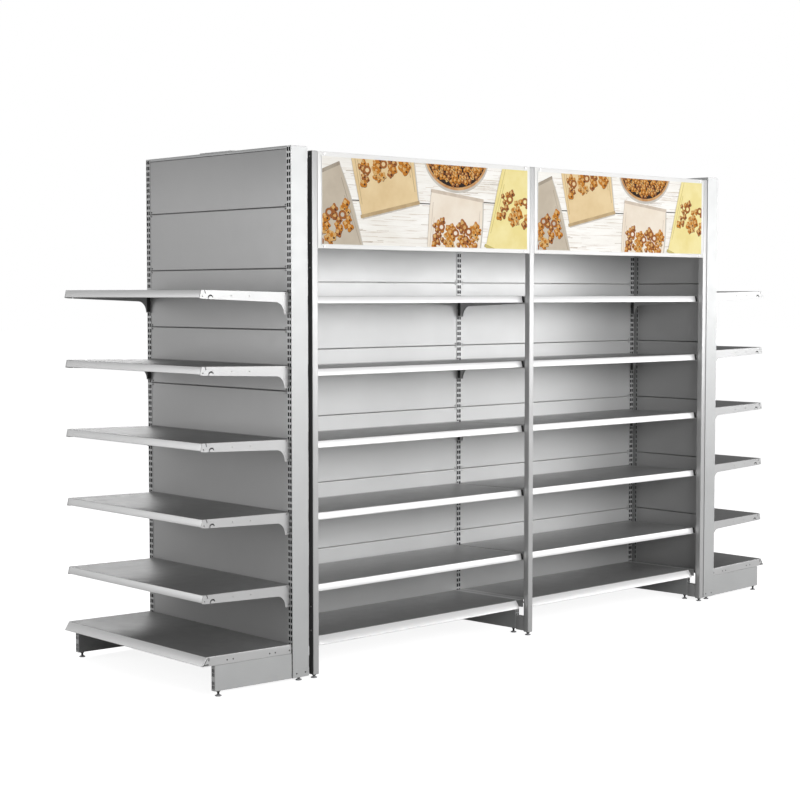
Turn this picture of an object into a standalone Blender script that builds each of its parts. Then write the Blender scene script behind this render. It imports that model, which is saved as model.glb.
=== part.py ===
"""Double-sided gondola shelving run with an end-cap unit at each end.

Frame: X along the run, Y across it (the shopper's side is -Y), Z up, metres.
The origin is the middle of the footprint, on the floor.  Every dimension below
follows from the 25 mm slot pitch of the uprights and the 300 mm shelf pitch.
"""
import math

import bmesh
import bpy
from mathutils import Matrix, Vector

# ------------------------------------------------------------------ dimensions
GAP = 0.0003            # working clearance between neighbouring pieces
SLOT = 0.025            # slot pitch of every upright
PITCH = 12 * SLOT       # shelf pitch

BAY = 1.303             # upright centre to upright centre along the run
HALF_RUN = 1.420        # slotted outer face of the end-cap uprights
HALF_END = 0.513        # outer edge of the end-cap uprights, across the run

UP_W = 0.030            # width of a slotted face
CORE_D = 0.093          # depth of a centre upright, face to face
END_D = 0.085           # depth of an end-cap upright
WALL = 0.002            # tube wall
END_TOP = 2.192         # top of the end-cap units
CORE_TOP = 2.180        # top of the centre uprights, under the top rail
FOOT_LIFT = 0.015       # underside of steelwork above the floor

SHELF_D = 0.4355        # upright face to shelf front
SHELF_RISE = 0.020      # shelves and legs climb this much per metre outward
LIP = 0.031             # height of a shelf front
SPLAY = 0.007           # how far the foot of a shelf front stands out
KICK = 0.024            # the same for a base deck
SHEET = 0.0012
PLATE = 0.003           # bracket plate
END_LEVEL = 1.600       # top of the highest end-cap shelf at the upright
RUN_LEVEL = END_LEVEL - SLOT
LEVELS = 5
DECK_TOP = 0.156
COLUMN = 0.0075         # slot column, off the middle of the slotted face

LEG_OUT = 0.3945        # reach of a base leg from the slotted face
LEG_W = 0.024
LEG_TOP = 0.118

POST = 0.030            # header post section
POST_Y = -0.523         # front face of a header post
POST_TOP = 2.175
SIGN_LOW = 1.779
SIGN_D = 0.020

SKIN_SEAM = 1.946       # one seam height shared by every panel stack
GROOVE = 0.003
GROOVE_D = 0.0006
SKIN = 0.0015


# --------------------------------------------------------------------- helpers
def clear_scene():
    for obj in list(bpy.data.objects):
        bpy.data.objects.remove(obj, do_unlink=True)


def finish_mesh(bm, name):
    bmesh.ops.remove_doubles(bm, verts=bm.verts, dist=0.000005)
    bmesh.ops.recalc_face_normals(bm, faces=bm.faces)
    me = bpy.data.meshes.new(name)
    bm.to_mesh(me)
    bm.free()
    return me


def box(name, lo, hi):
    """Axis-aligned block between two corners."""
    bm = bmesh.new()
    size = [hi[i] - lo[i] for i in range(3)]
    mid = [(hi[i] + lo[i]) / 2 for i in range(3)]
    bmesh.ops.create_cube(
        bm, size=1.0,
        matrix=Matrix.Translation(mid) @ Matrix.Diagonal((*size, 1.0)))
    return finish_mesh(bm, name)


def prism(name, outline, lo, hi, axis):
    """Extrude a closed 2-D outline along one axis.

    axis 'X': outline is (y, z); axis 'Y': outline is (x, z)."""
    bm = bmesh.new()
    if axis == 'X':
        pts = [(lo, a, b) for a, b in outline]
        vec = (hi - lo, 0.0, 0.0)
    else:
        pts = [(a, lo, b) for a, b in outline]
        vec = (0.0, hi - lo, 0.0)
    face = bm.faces.new([bm.verts.new(p) for p in pts])
    out = bmesh.ops.extrude_face_region(bm, geom=[face])
    moved = [g for g in out['geom'] if isinstance(g, bmesh.types.BMVert)]
    bmesh.ops.translate(bm, verts=moved, vec=vec)
    return finish_mesh(bm, name)


def rod(name, radius, lo, hi, x, y, sides=16):
    """Upright cylinder at x, y."""
    bm = bmesh.new()
    bmesh.ops.create_cone(
        bm, cap_ends=True, segments=sides, radius1=radius, radius2=radius,
        depth=hi - lo, matrix=Matrix.Translation((x, y, (lo + hi) / 2)))
    return finish_mesh(bm, name)


def joined(name, meshes):
    """Several separate solids in one mesh, used as one cutter."""
    bm = bmesh.new()
    for me in meshes:
        bm.from_mesh(me)
    me = bpy.data.meshes.new(name)
    bm.to_mesh(me)
    bm.free()
    return me


def combine(name, base, others, how):
    """Exact boolean of a base mesh with a list of meshes, result as a mesh."""
    obj = bpy.data.objects.new(name, base)
    bpy.context.scene.collection.objects.link(obj)
    tools = []
    for i, other in enumerate(others):
        tool = bpy.data.objects.new(f"{name}_t{i}", other)
        bpy.context.scene.collection.objects.link(tool)
        mod = obj.modifiers.new(f"b{i}", 'BOOLEAN')
        mod.operation = how
        mod.solver = 'EXACT'
        mod.object = tool
        tools.append(tool)
    deps = bpy.context.evaluated_depsgraph_get()
    me = bpy.data.meshes.new_from_object(obj.evaluated_get(deps))
    for tool in tools:
        bpy.data.objects.remove(tool, do_unlink=True)
    bpy.data.objects.remove(obj, do_unlink=True)
    bm = bmesh.new()
    bm.from_mesh(me)
    bmesh.ops.remove_doubles(bm, verts=bm.verts, dist=0.00002)
    bmesh.ops.dissolve_limit(
        bm, angle_limit=math.radians(0.5), verts=bm.verts, edges=bm.edges)
    return finish_mesh(bm, name)


def union(name, base, *others):
    return combine(name, base, others, 'UNION')


def cut(name, base, *others):
    return combine(name, base, others, 'DIFFERENCE')


def placed(name, mesh, x=0.0, y=0.0, z=0.0, turn=0.0):
    """Copy of a mesh turned about Z and moved into the assembly."""
    me = mesh.copy()
    me.name = name
    me.transform(Matrix.Translation((x, y, z)) @ Matrix.Rotation(turn, 4, 'Z'))
    return me


def climb(mesh):
    """Shear a piece built outward along +Y so that it rises outward."""
    for v in mesh.vertices:
        if v.co.y > 0.0:
            v.co.z += SHELF_RISE * v.co.y
    return mesh


FINISH = {
    "steel": ((0.62, 0.63, 0.64), 0.35, 0.85),
    "shelf": ((0.66, 0.67, 0.68), 0.32, 0.85),
    "panel": ((0.64, 0.65, 0.66), 0.38, 0.80),
    "post": ((0.70, 0.71, 0.72), 0.30, 0.85),
    "sign": ((0.80, 0.79, 0.77), 0.45, 0.10),
}


def add(name, mesh, finish):
    """Register one piece under its own name with its own material."""
    mesh.name = name
    obj = bpy.data.objects.new(name, mesh)
    bpy.context.scene.collection.objects.link(obj)
    colour, rough, metal = FINISH[finish]
    mat = bpy.data.materials.new(name + "_finish")
    mat.use_nodes = True
    bsdf = mat.node_tree.nodes["Principled BSDF"]
    bsdf.inputs["Base Color"].default_value = (*colour, 1.0)
    bsdf.inputs["Roughness"].default_value = rough
    bsdf.inputs["Metallic"].default_value = metal
    mesh.materials.clear()
    mesh.materials.append(mat)
    return obj


# --------------------------------------------------------------------- shelves
HOOKS = ((-0.012, -0.026), (-0.062, -0.076))     # tab heights under the tray top


def shelf(name, width):
    """Tray with a hook bracket at each end.  Built outward along +Y from the
    slotted face at y = 0, tray top at z = 0 there."""
    back = 0.006                                   # tray stops short of the skin
    front = SHELF_D
    foot_y = front + SPLAY                         # the front leans outward
    outline = [
        (back, 0.0045), (back + 0.0015, 0.0045), (back + 0.0015, 0.0),
        (front, 0.0), (foot_y, -LIP), (foot_y - 0.014, -LIP),
        (foot_y - 0.014, -LIP + SHEET), (foot_y - SHEET, -LIP + SHEET),
        (front - SHEET, -SHEET), (back + SHEET, -SHEET),
        (back + SHEET, -0.020), (back, -0.020),
    ]
    half = width / 2
    tray = prism(name + "_tray", outline, -half + 0.0004, half - 0.0004, 'X')

    # side outline of a bracket: rear edge with two tabs, swept foot, arm, nose
    reach = 0.007                                  # tab reach behind the face
    tail, waist, knee = -0.091, -0.042, 0.062
    side = [(GAP, -0.001)]
    for hi, lo in HOOKS:
        side += [(GAP, hi), (-reach, hi), (-reach, lo), (GAP, lo)]
    heel = 0.021                                   # width of the foot of the tail
    side.append((GAP, tail))
    side.append((heel, tail))
    for i in range(1, 6):
        a = math.radians(90.0 * i / 6)
        side.append((heel + (knee - heel) * (1 - math.cos(a)),
                     tail + (waist - tail) * math.sin(a)))
    side += [(knee, waist), (front - 0.010, -0.035), (foot_y - 0.0006, -0.033),
             (front - 0.0006, -0.001)]
    left = prism(name + "_l", side, -half, -half + PLATE, 'X')
    right = prism(name + "_r", side, half - PLATE, half, 'X')
    return climb(union(name, tray, left, right))


def deck(name, width, inset=0.0):
    """Base deck: an open tray that sits on the base legs.  Its front leans
    outward, and stops short of each end by the inset, clear of the posts."""
    front = SHELF_D - 0.006
    drop = DECK_TOP - LEG_TOP - GAP
    half = width / 2
    lean = KICK / drop
    wall = SHEET * 1.2
    block = prism(name + "_b", [
        (0.0015, 0.0), (front, 0.0), (front + KICK, -drop), (0.0015, -drop)],
        -half, half, 'X')
    deep = 0.010                                   # cutters run past the rim
    hollow = prism(name + "_h", [
        (0.0015 + SHEET, -SHEET), (front - wall, -SHEET),
        (front - wall + lean * (drop + deep - SHEET), -drop - deep),
        (0.0015 + SHEET, -drop - deep)],
        -half + inset + SHEET, half - inset - SHEET, 'X')
    if not inset:
        return climb(cut(name, block, hollow))
    flat = front - 0.0009                          # upright front of the end parts
    notches, pockets = [], []
    for s in (-1, 1):
        a, b = sorted((s * (half - inset), s * (half + 0.01)))
        notches.append(box(name + "_n", (a, flat, -drop - deep), (b, front + 0.05, deep)))
        a, b = sorted((s * (half - inset - 0.003), s * (half - SHEET)))
        pockets.append(box(name + "_e", (a, 0.004, -drop - deep - 0.002),
                           (b, flat - SHEET, -SHEET - 0.0004)))
    return climb(cut(name, block, *notches, hollow, *pockets))


# ---------------------------------------------------------------------- frames
def foot(name, x, y, top):
    disc = rod(name + "_d", 0.013, 0.0, 0.006, x, y)
    stem = rod(name + "_s", 0.005, 0.004, top, x, y, 12)
    return disc, stem


def leg(name, y0, y1, inset=0.0):
    """Base leg outward along +Y, rising with the deck above it."""
    me = box(name, (-LEG_W / 2 + inset, y0, FOOT_LIFT + inset),
             (LEG_W / 2 - inset, y1 - inset, LEG_TOP - inset))
    return climb(me)


def windows(name, column, y0, y1, level):
    """Slots taken by the bracket tabs of one column of shelves."""
    cutters = []
    for k in range(LEVELS):
        z = level - k * PITCH
        for hi, lo in HOOKS:
            cutters.append(box(
                f"{name}{k}", (column - 0.0026, y0, z + lo - 0.004),
                (column + 0.0026, y1, z + hi + 0.003)))
    return cutters


def core_frame(name, columns):
    """Centre upright with a base leg to each side of the run."""
    h = CORE_D / 2
    tube = box(name, (-UP_W / 2, -h, FOOT_LIFT), (UP_W / 2, h, CORE_TOP))
    inner = box(name + "_i", (-UP_W / 2 + WALL, -h + WALL, FOOT_LIFT + 0.006),
                (UP_W / 2 - WALL, h - WALL, CORE_TOP - WALL))
    slots = []
    for c in columns:
        slots += windows(name, c, -h - 0.01, h + 0.01, RUN_LEVEL)
    out = placed(name + "_o", leg(name + "_l", -0.001, LEG_OUT), y=h)
    core = placed(name + "_c", leg(name + "_k", -0.004, LEG_OUT, WALL), y=h)
    parts = [out, placed(name + "_m", out, turn=math.pi)]
    reach = LEG_OUT - 0.025
    for y, lift in ((-(h + reach), SHELF_RISE * reach), (0.0, 0.0),
                    (h + reach, SHELF_RISE * reach)):
        parts += foot(name + "_f", 0.0, y, FOOT_LIFT + lift + 0.001)
    shell = cut(name, union(name, tube, *parts), inner)
    shell = cut(name, shell, joined(
        name + "_v", [core, placed(name + "_n", core, turn=math.pi)]))
    return cut(name, shell, joined(name + "_w", slots))


def end_frame(name, column):
    """End-cap upright, slotted face at y = 0 looking along +Y, with one leg."""
    tube = box(name, (-UP_W / 2, -END_D, FOOT_LIFT), (UP_W / 2, 0.0, END_TOP))
    inner = box(name + "_i", (-UP_W / 2 + WALL, -END_D + WALL, FOOT_LIFT + 0.006),
                (UP_W / 2 - WALL, -WALL, END_TOP - WALL))
    slots = windows(name, column, -0.01, 0.01, END_LEVEL)
    reach = LEG_OUT - 0.025
    parts = [leg(name + "_l", -0.001, LEG_OUT)]
    parts += foot(name + "_f", 0.0, -END_D / 2, FOOT_LIFT + 0.001)
    parts += foot(name + "_g", 0.0, reach, FOOT_LIFT + SHELF_RISE * reach + 0.001)
    shell = cut(name, union(name, tube, *parts), inner)
    shell = cut(name, shell, leg(name + "_k", -0.004, LEG_OUT, WALL))
    return cut(name, shell, joined(name + "_w", slots))


# -------------------------------------------------------------- posts and signs
def post(name):
    """Header post with a stub that reaches back to the base leg."""
    y1 = POST_Y + POST
    leg_front = -(CORE_D / 2 + LEG_OUT)
    shaft = box(name, (-POST / 2, POST_Y, FOOT_LIFT), (POST / 2, y1, POST_TOP))
    stub = box(name + "_s", (-LEG_W / 2, y1 - 0.001, FOOT_LIFT + 0.004),
               (LEG_W / 2, leg_front - GAP * 2, 0.085))
    disc, stem = foot(name + "_f", 0.0, POST_Y + POST / 2, FOOT_LIFT + 0.001)
    bore = box(name + "_i", (-POST / 2 + WALL, POST_Y + WALL, FOOT_LIFT + WALL),
               (POST / 2 - WALL, y1 - WALL, POST_TOP + 0.01))
    return cut(name, union(name + "_u", shaft, stub, disc, stem), bore)


def sign(name):
    """Header sign: shallow frame with a raised board, between two posts."""
    half = (BAY - POST) / 2 - 0.0008
    frame = box(name, (-half, POST_Y, SIGN_LOW), (half, POST_Y + SIGN_D, POST_TOP))
    board = box(name + "_b", (-half + 0.020, POST_Y - 0.0015, SIGN_LOW + 0.017),
                (half - 0.020, POST_Y + 0.002, POST_TOP - 0.018))
    # pan folded from sheet, open at the back
    pan = box(name + "_p", (-half + SHEET, POST_Y + 0.0025, SIGN_LOW + SHEET),
              (half - SHEET, POST_Y + SIGN_D + 0.01, POST_TOP - SHEET))
    return cut(name, union(name + "_u", frame, board), pan)


# ---------------------------------------------------------------------- panels
def seams(lo, hi, pitch):
    k0 = math.ceil((lo + 0.03 - SKIN_SEAM) / pitch)
    k1 = math.floor((hi - 0.03 - SKIN_SEAM) / pitch)
    return [SKIN_SEAM + k * pitch for k in range(k0, k1 + 1)]


def grooved(face, sign_, lo, hi, pitch, lowest=0.0):
    """Points up one skin with a shallow groove at every seam."""
    pts = [(face, lo)]
    for z in seams(max(lo, lowest), hi, pitch):
        pts += [(face, z - GROOVE / 2), (face - sign_ * GROOVE_D, z - GROOVE / 2),
                (face - sign_ * GROOVE_D, z + GROOVE / 2), (face, z + GROOVE / 2)]
    pts.append((face, hi))
    return pts


def core_panel(name):
    """Two skins and their rails for one bay, open at the uprights."""
    h = CORE_D / 2 - 0.002
    lo, hi = 0.146, CORE_TOP
    w = (BAY - UP_W) / 2 - GAP
    outline = grooved(h, 1, lo, hi, PITCH) + grooved(-h, -1, lo, hi, PITCH)[::-1]
    body = prism(name, outline, -w, w, 'X')
    hollow = box(name + "_h", (-w - 0.01, -h + SKIN, lo + SKIN),
                 (w + 0.01, h - SKIN, hi - SKIN))
    return cut(name, body, hollow)


def end_panel(name):
    """Outer skin of an end cap with its top rail and the tie plate.
    Outward is +Y, slotted faces at y = 0."""
    w = HALF_END - UP_W - GAP
    face, back = -0.002, -0.002 - SKIN
    lo, hi = 0.146, END_TOP
    fold = 0.020                                   # bottom fold of the skin
    # three panels of ten slots under the top one, and one tall panel below them
    outline = grooved(face, 1, lo, hi - 0.012, 10 * SLOT, SKIN_SEAM - 0.80)
    outline += [(-GAP, hi - 0.010), (-GAP, hi), (-END_D + GAP, hi),
                (-END_D + GAP, hi - 0.010), (-END_D + GAP + SKIN, hi - 0.010),
                (-END_D + GAP + SKIN, hi - SKIN), (back, hi - SKIN),
                (back, lo + SKIN), (face - fold, lo + SKIN), (face - fold, lo)]
    body = prism(name, outline, -w, w, 'X')
    tie = box(name + "_t", (-0.112, -0.150, hi + GAP), (0.112, -0.004, hi + 0.004))
    seat = box(name + "_u", (-0.100, -0.078, hi - 0.001), (0.100, -0.008, hi + 0.002))
    return union(name, body, seat, tie)


def side_panel(name):
    """Inner skin of an end cap, facing the bays, with its slotted stile.
    Outward of the end cap is +Y."""
    w = HALF_END - UP_W - GAP
    lo, hi = 0.146, END_TOP - 0.011
    face, back = -END_D + 0.002, -END_D + 0.002 + SKIN
    fold = 0.015                                   # folded top and bottom edges
    outline = grooved(face, -1, lo, hi, PITCH)
    outline += [(face + fold, hi), (face + fold, hi - SKIN), (back, hi - SKIN),
                (back, lo + SKIN), (face + fold, lo + SKIN), (face + fold, lo)]
    body = prism(name, outline, -w, w, 'X')
    stile = box(name + "_s", (-0.0625, -END_D, lo + 0.002),
                (0.0625, face + 0.0008, hi - 0.002))
    return union(name, body, stile)


# -------------------------------------------------------------------- assembly
def build():
    clear_scene()
    half_turn, quarter = math.pi, math.pi / 2

    # centre run
    frames = {
        "frame_left": (-BAY, (COLUMN,)),
        "frame_middle": (0.0, (-COLUMN, COLUMN)),
        "frame_right": (BAY, (-COLUMN,)),
    }
    for name, (x, columns) in frames.items():
        add(name, placed(name, core_frame(name + "_raw", columns), x=x), "steel")

    panel = core_panel("core_panel")
    add("back_panel_1", placed("bp1", panel, x=-BAY / 2), "panel")
    add("back_panel_2", placed("bp2", panel, x=BAY / 2), "panel")
    h = CORE_D / 2
    add("top_rail", box("top_rail", (-BAY - UP_W / 2, -h, CORE_TOP + GAP),
                        (BAY + UP_W / 2, h, END_TOP)), "steel")

    upright_post = post("post_raw")
    header = sign("sign_raw")
    for side, turn in (("front", 0.0), ("rear", half_turn)):
        for label, x in (("left", -BAY), ("middle", 0.0), ("right", BAY)):
            add(f"post_{side}_{label}", placed("p", upright_post, x=x, turn=turn), "post")
        for label, x in (("1", -BAY / 2), ("2", BAY / 2)):
            add(f"sign_{side}_{label}", placed("s", header, x=x, turn=turn), "sign")

    run_shelf = shelf("run_shelf", BAY - 2 * (COLUMN - PLATE / 2))
    run_deck = deck("run_deck", BAY - 0.002, 0.030)
    for side, turn, s in (("front", half_turn, -1), ("rear", 0.0, 1)):
        for bay, x in (("1", -BAY / 2), ("2", BAY / 2)):
            for k in range(LEVELS):
                add(f"shelf_{side}_{bay}_{LEVELS - k}",
                    placed("sh", run_shelf, x, s * h, RUN_LEVEL - k * PITCH, turn),
                    "shelf")
            add(f"deck_{side}_{bay}", placed("dk", run_deck, x, s * h, DECK_TOP, turn),
                "shelf")

    # end caps: outward is -X at the left end and +X at the right end
    cap_shelf = shelf("cap_shelf", 2 * (HALF_END - UP_W / 2 + PLATE / 2 - COLUMN))
    cap_deck = deck("cap_deck", 2 * (HALF_END - UP_W / 2) + 0.016)
    inner_pos = end_frame("cap_frame_a", COLUMN)
    inner_neg = end_frame("cap_frame_b", -COLUMN)
    skin = end_panel("cap_skin")
    wall = side_panel("cap_wall")
    for side, turn, s in (("left", quarter, -1), ("right", -quarter, 1)):
        x = s * HALF_RUN
        y = HALF_END - UP_W / 2
        front_mesh = inner_pos if side == "left" else inner_neg
        rear_mesh = inner_neg if side == "left" else inner_pos
        add(f"end_frame_{side}_front", placed("ef", front_mesh, x, -y, 0.0, turn), "steel")
        add(f"end_frame_{side}_rear", placed("er", rear_mesh, x, y, 0.0, turn), "steel")
        add(f"end_panel_{side}", placed("ep", skin, x, 0.0, 0.0, turn), "panel")
        add(f"side_panel_{side}", placed("sp", wall, x, 0.0, 0.0, turn), "panel")
        for k in range(LEVELS):
            add(f"shelf_{side}_{LEVELS - k}",
                placed("cs", cap_shelf, x, 0.0, END_LEVEL - k * PITCH, turn), "shelf")
        add(f"deck_{side}", placed("cd", cap_deck, x, 0.0, DECK_TOP, turn), "shelf")


build()
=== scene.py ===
"""Looks of the double-sided gondola shelving run with an end-cap unit at each end.

Frame: X along the run, Y across it (the shopper's side is -Y), Z up, metres.
The origin is the middle of the footprint, on the floor."""
import math
import random

import bmesh  # noqa: E402
import bpy  # noqa: E402
from mathutils import Matrix, Vector  # noqa: E402


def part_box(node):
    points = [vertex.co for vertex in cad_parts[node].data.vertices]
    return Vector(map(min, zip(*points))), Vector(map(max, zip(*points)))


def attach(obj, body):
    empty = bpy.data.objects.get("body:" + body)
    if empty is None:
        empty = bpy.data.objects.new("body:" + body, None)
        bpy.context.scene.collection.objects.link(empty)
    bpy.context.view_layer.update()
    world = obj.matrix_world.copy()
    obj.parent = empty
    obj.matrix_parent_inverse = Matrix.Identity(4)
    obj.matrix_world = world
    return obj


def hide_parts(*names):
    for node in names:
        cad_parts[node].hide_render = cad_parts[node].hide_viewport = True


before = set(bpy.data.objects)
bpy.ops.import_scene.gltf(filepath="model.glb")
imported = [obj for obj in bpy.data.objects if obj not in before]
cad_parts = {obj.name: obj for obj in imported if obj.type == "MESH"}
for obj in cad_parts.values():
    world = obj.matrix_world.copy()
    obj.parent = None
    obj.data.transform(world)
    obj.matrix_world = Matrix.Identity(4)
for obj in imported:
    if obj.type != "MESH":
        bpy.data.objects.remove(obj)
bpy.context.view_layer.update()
random.seed(11)

# ------------------------------------------------------------------ dimensions
SLOT = 0.025
PITCH = 12 * SLOT
BAY = 1.303
HALF_RUN = 1.420
HALF_END = 0.513
UP_W = 0.030
CORE_D = 0.093
END_D = 0.085
WALL = 0.002
END_TOP = 2.192
CORE_TOP = 2.180
FOOT_LIFT = 0.015
SHELF_D = 0.4355
RISE = 0.020
LIP = 0.031
SPLAY = 0.007
KICK = 0.024
SHEET = 0.0012
PLATE = 0.003
END_LEVEL = 1.600
RUN_LEVEL = END_LEVEL - SLOT
LEVELS = 5
DECK_TOP = 0.156
COLUMN = 0.0075
LEG_OUT = 0.3945
LEG_W = 0.024
LEG_TOP = 0.118
POST = 0.030
POST_Y = -0.523
POST_TOP = 2.175
SIGN_LOW = 1.779
SIGN_D = 0.020
SEAM = 1.946
SLOT_Z = 2.1525          # one slot centre, every other is a slot pitch away
SLOT_IN, SLOT_OUT = 0.0020, 0.0114      # a slot's edges off the face's middle


# ------------------------------------------------------------------- materials
def new_material(name):
    mat = bpy.data.materials.new(name)
    mat.use_nodes = True
    return mat, mat.node_tree.nodes, mat.node_tree.links, mat.node_tree.nodes["Principled BSDF"]


def noise(nodes, links, coord, scale, detail=3.0, rough=0.5):
    n = nodes.new("ShaderNodeTexNoise")
    n.inputs["Scale"].default_value = scale
    n.inputs["Detail"].default_value = detail
    n.inputs["Roughness"].default_value = rough
    links.new(coord, n.inputs["Vector"])
    return n.outputs["Fac"]


def remap(nodes, links, value, a, b, lo=0.3, hi=0.7):
    m = nodes.new("ShaderNodeMapRange")
    m.inputs["From Min"].default_value = lo
    m.inputs["From Max"].default_value = hi
    m.inputs["To Min"].default_value = a
    m.inputs["To Max"].default_value = b
    links.new(value, m.inputs["Value"])
    return m.outputs["Result"]


def blend_colour(nodes, links, fac, a, b):
    m = nodes.new("ShaderNodeMix")
    m.data_type = 'RGBA'
    if isinstance(fac, float):
        m.inputs["Factor"].default_value = fac
    else:
        links.new(fac, m.inputs["Factor"])
    for sock, c in ((m.inputs[6], a), (m.inputs[7], b)):
        if isinstance(c, tuple):
            sock.default_value = (*c, 1.0)
        else:
            links.new(c, sock)
    return m.outputs[2]


def stretched(nodes, links, coord, scale):
    m = nodes.new("ShaderNodeMapping")
    m.inputs["Scale"].default_value = scale
    links.new(coord, m.inputs["Vector"])
    return m.outputs["Vector"]


def powder(name, tone, metal=0.55, rough=0.36, tint=(1.0, 1.0, 1.0), mottle=0.035,
           peel=0.10, scuff=None, coat=0.0, marked=1.0):
    """Sprayed and baked coat on sheet steel: an even tone that drifts a little, a
    fine orange-peel surface, faint handling marks in the gloss, and where asked
    fine scuffs along the direction that goods slide."""
    mat, nodes, links, bsdf = new_material(name)
    coord = nodes.new("ShaderNodeTexCoord").outputs["Object"]
    drift = noise(nodes, links, coord, 2.3, 3.0)
    fleck = noise(nodes, links, coord, 2600.0, 1.0)
    base = tuple(tone * t for t in tint)
    dark = tuple(c * (1.0 - mottle) for c in base)
    light = tuple(min(1.0, c * (1.0 + mottle)) for c in base)
    colour = blend_colour(nodes, links, remap(nodes, links, drift, 0.0, 1.0), dark, light)
    colour = blend_colour(nodes, links, remap(nodes, links, fleck, 0.0, 0.16, 0.45, 0.75),
                          colour, tuple(min(1.0, c * 1.25) for c in base))
    marks = noise(nodes, links, coord, 17.0, 6.0, 0.62)
    gloss = remap(nodes, links, marks, rough - 0.035 * marked, rough + 0.06 * marked)
    if scuff:
        lines = noise(nodes, links, stretched(nodes, links, coord, scuff), 1.0, 4.0, 0.7)
        rub = remap(nodes, links, lines, 0.0, 1.0, 0.60, 0.72)
        colour = blend_colour(nodes, links, rub, colour,
                              tuple(min(1.0, c * 1.10) for c in base))
        add = nodes.new("ShaderNodeMath")
        add.operation = 'MULTIPLY_ADD'
        links.new(rub, add.inputs[0])
        add.inputs[1].default_value = 0.08
        links.new(gloss, add.inputs[2])
        gloss = add.outputs[0]
    links.new(colour, bsdf.inputs["Base Color"])
    links.new(gloss, bsdf.inputs["Roughness"])
    bsdf.inputs["Metallic"].default_value = metal
    bsdf.inputs["Coat Weight"].default_value = coat
    bsdf.inputs["Coat Roughness"].default_value = 0.12
    bump = nodes.new("ShaderNodeBump")
    bump.inputs["Strength"].default_value = peel
    bump.inputs["Distance"].default_value = 0.0006
    links.new(noise(nodes, links, coord, 620.0, 2.0), bump.inputs["Height"])
    links.new(bump.outputs["Normal"], bsdf.inputs["Normal"])
    return mat


def plated(name, tone, rough=0.3, metal=1.0, ring=0.0):
    """Zinc-plated or blackened steel of screws, nuts and stems."""
    mat, nodes, links, bsdf = new_material(name)
    coord = nodes.new("ShaderNodeTexCoord").outputs["Object"]
    tarnish = noise(nodes, links, coord, 240.0, 5.0, 0.6)
    colour = blend_colour(nodes, links, remap(nodes, links, tarnish, 0.0, 1.0),
                          tuple(tone * c for c in (0.92, 0.93, 0.96)),
                          tuple(min(1.0, tone * c * 1.2) for c in (1.0, 0.98, 0.94)))
    links.new(colour, bsdf.inputs["Base Color"])
    links.new(remap(nodes, links, tarnish, rough, rough + 0.18), bsdf.inputs["Roughness"])
    bsdf.inputs["Metallic"].default_value = metal
    bump = nodes.new("ShaderNodeBump")
    bump.inputs["Strength"].default_value = 0.15
    bump.inputs["Distance"].default_value = 0.0003
    links.new(noise(nodes, links, coord, 1500.0, 2.0), bump.inputs["Height"])
    links.new(bump.outputs["Normal"], bsdf.inputs["Normal"])
    return mat


def moulded(name, colour, rough=0.5):
    """Moulded plastic of the levelling feet."""
    mat, nodes, links, bsdf = new_material(name)
    coord = nodes.new("ShaderNodeTexCoord").outputs["Object"]
    dust = noise(nodes, links, coord, 60.0, 5.0, 0.6)
    links.new(blend_colour(nodes, links, remap(nodes, links, dust, 0.0, 0.5),
                           colour, tuple(min(1.0, c * 1.5 + 0.02) for c in colour)),
              bsdf.inputs["Base Color"])
    links.new(remap(nodes, links, dust, rough, rough + 0.2), bsdf.inputs["Roughness"])
    bump = nodes.new("ShaderNodeBump")
    bump.inputs["Strength"].default_value = 0.2
    bump.inputs["Distance"].default_value = 0.0002
    links.new(noise(nodes, links, coord, 2200.0, 2.0), bump.inputs["Height"])
    links.new(bump.outputs["Normal"], bsdf.inputs["Normal"])
    return mat


def limed_planks(name):
    """Printed board: pale limed planks with thin brown grain lines."""
    mat, nodes, links, bsdf = new_material(name)
    coord = nodes.new("ShaderNodeTexCoord").outputs["Object"]
    pull = stretched(nodes, links, coord, (1.0, 1.0, 34.0))
    warp = noise(nodes, links, stretched(nodes, links, coord, (1.0, 1.0, 5.0)), 3.0, 2.0)
    grain = noise(nodes, links, pull, 4.2, 6.0, 0.62)
    fine = noise(nodes, links, stretched(nodes, links, coord, (3.0, 1.0, 150.0)), 5.0, 4.0, 0.7)
    colour = blend_colour(nodes, links, remap(nodes, links, warp, 0.0, 1.0),
                          (0.80, 0.77, 0.71), (0.90, 0.885, 0.85))
    colour = blend_colour(nodes, links, remap(nodes, links, grain, 0.0, 0.72, 0.56, 0.70),
                          colour, (0.46, 0.35, 0.25))
    colour = blend_colour(nodes, links, remap(nodes, links, fine, 0.0, 0.35, 0.56, 0.72),
                          colour, (0.38, 0.29, 0.21))
    links.new(colour, bsdf.inputs["Base Color"])
    links.new(remap(nodes, links, grain, 0.42, 0.52), bsdf.inputs["Roughness"])
    bump = nodes.new("ShaderNodeBump")
    bump.inputs["Strength"].default_value = 0.08
    bump.inputs["Distance"].default_value = 0.0004
    links.new(fine, bump.inputs["Height"])
    links.new(bump.outputs["Normal"], bsdf.inputs["Normal"])
    return mat


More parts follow.
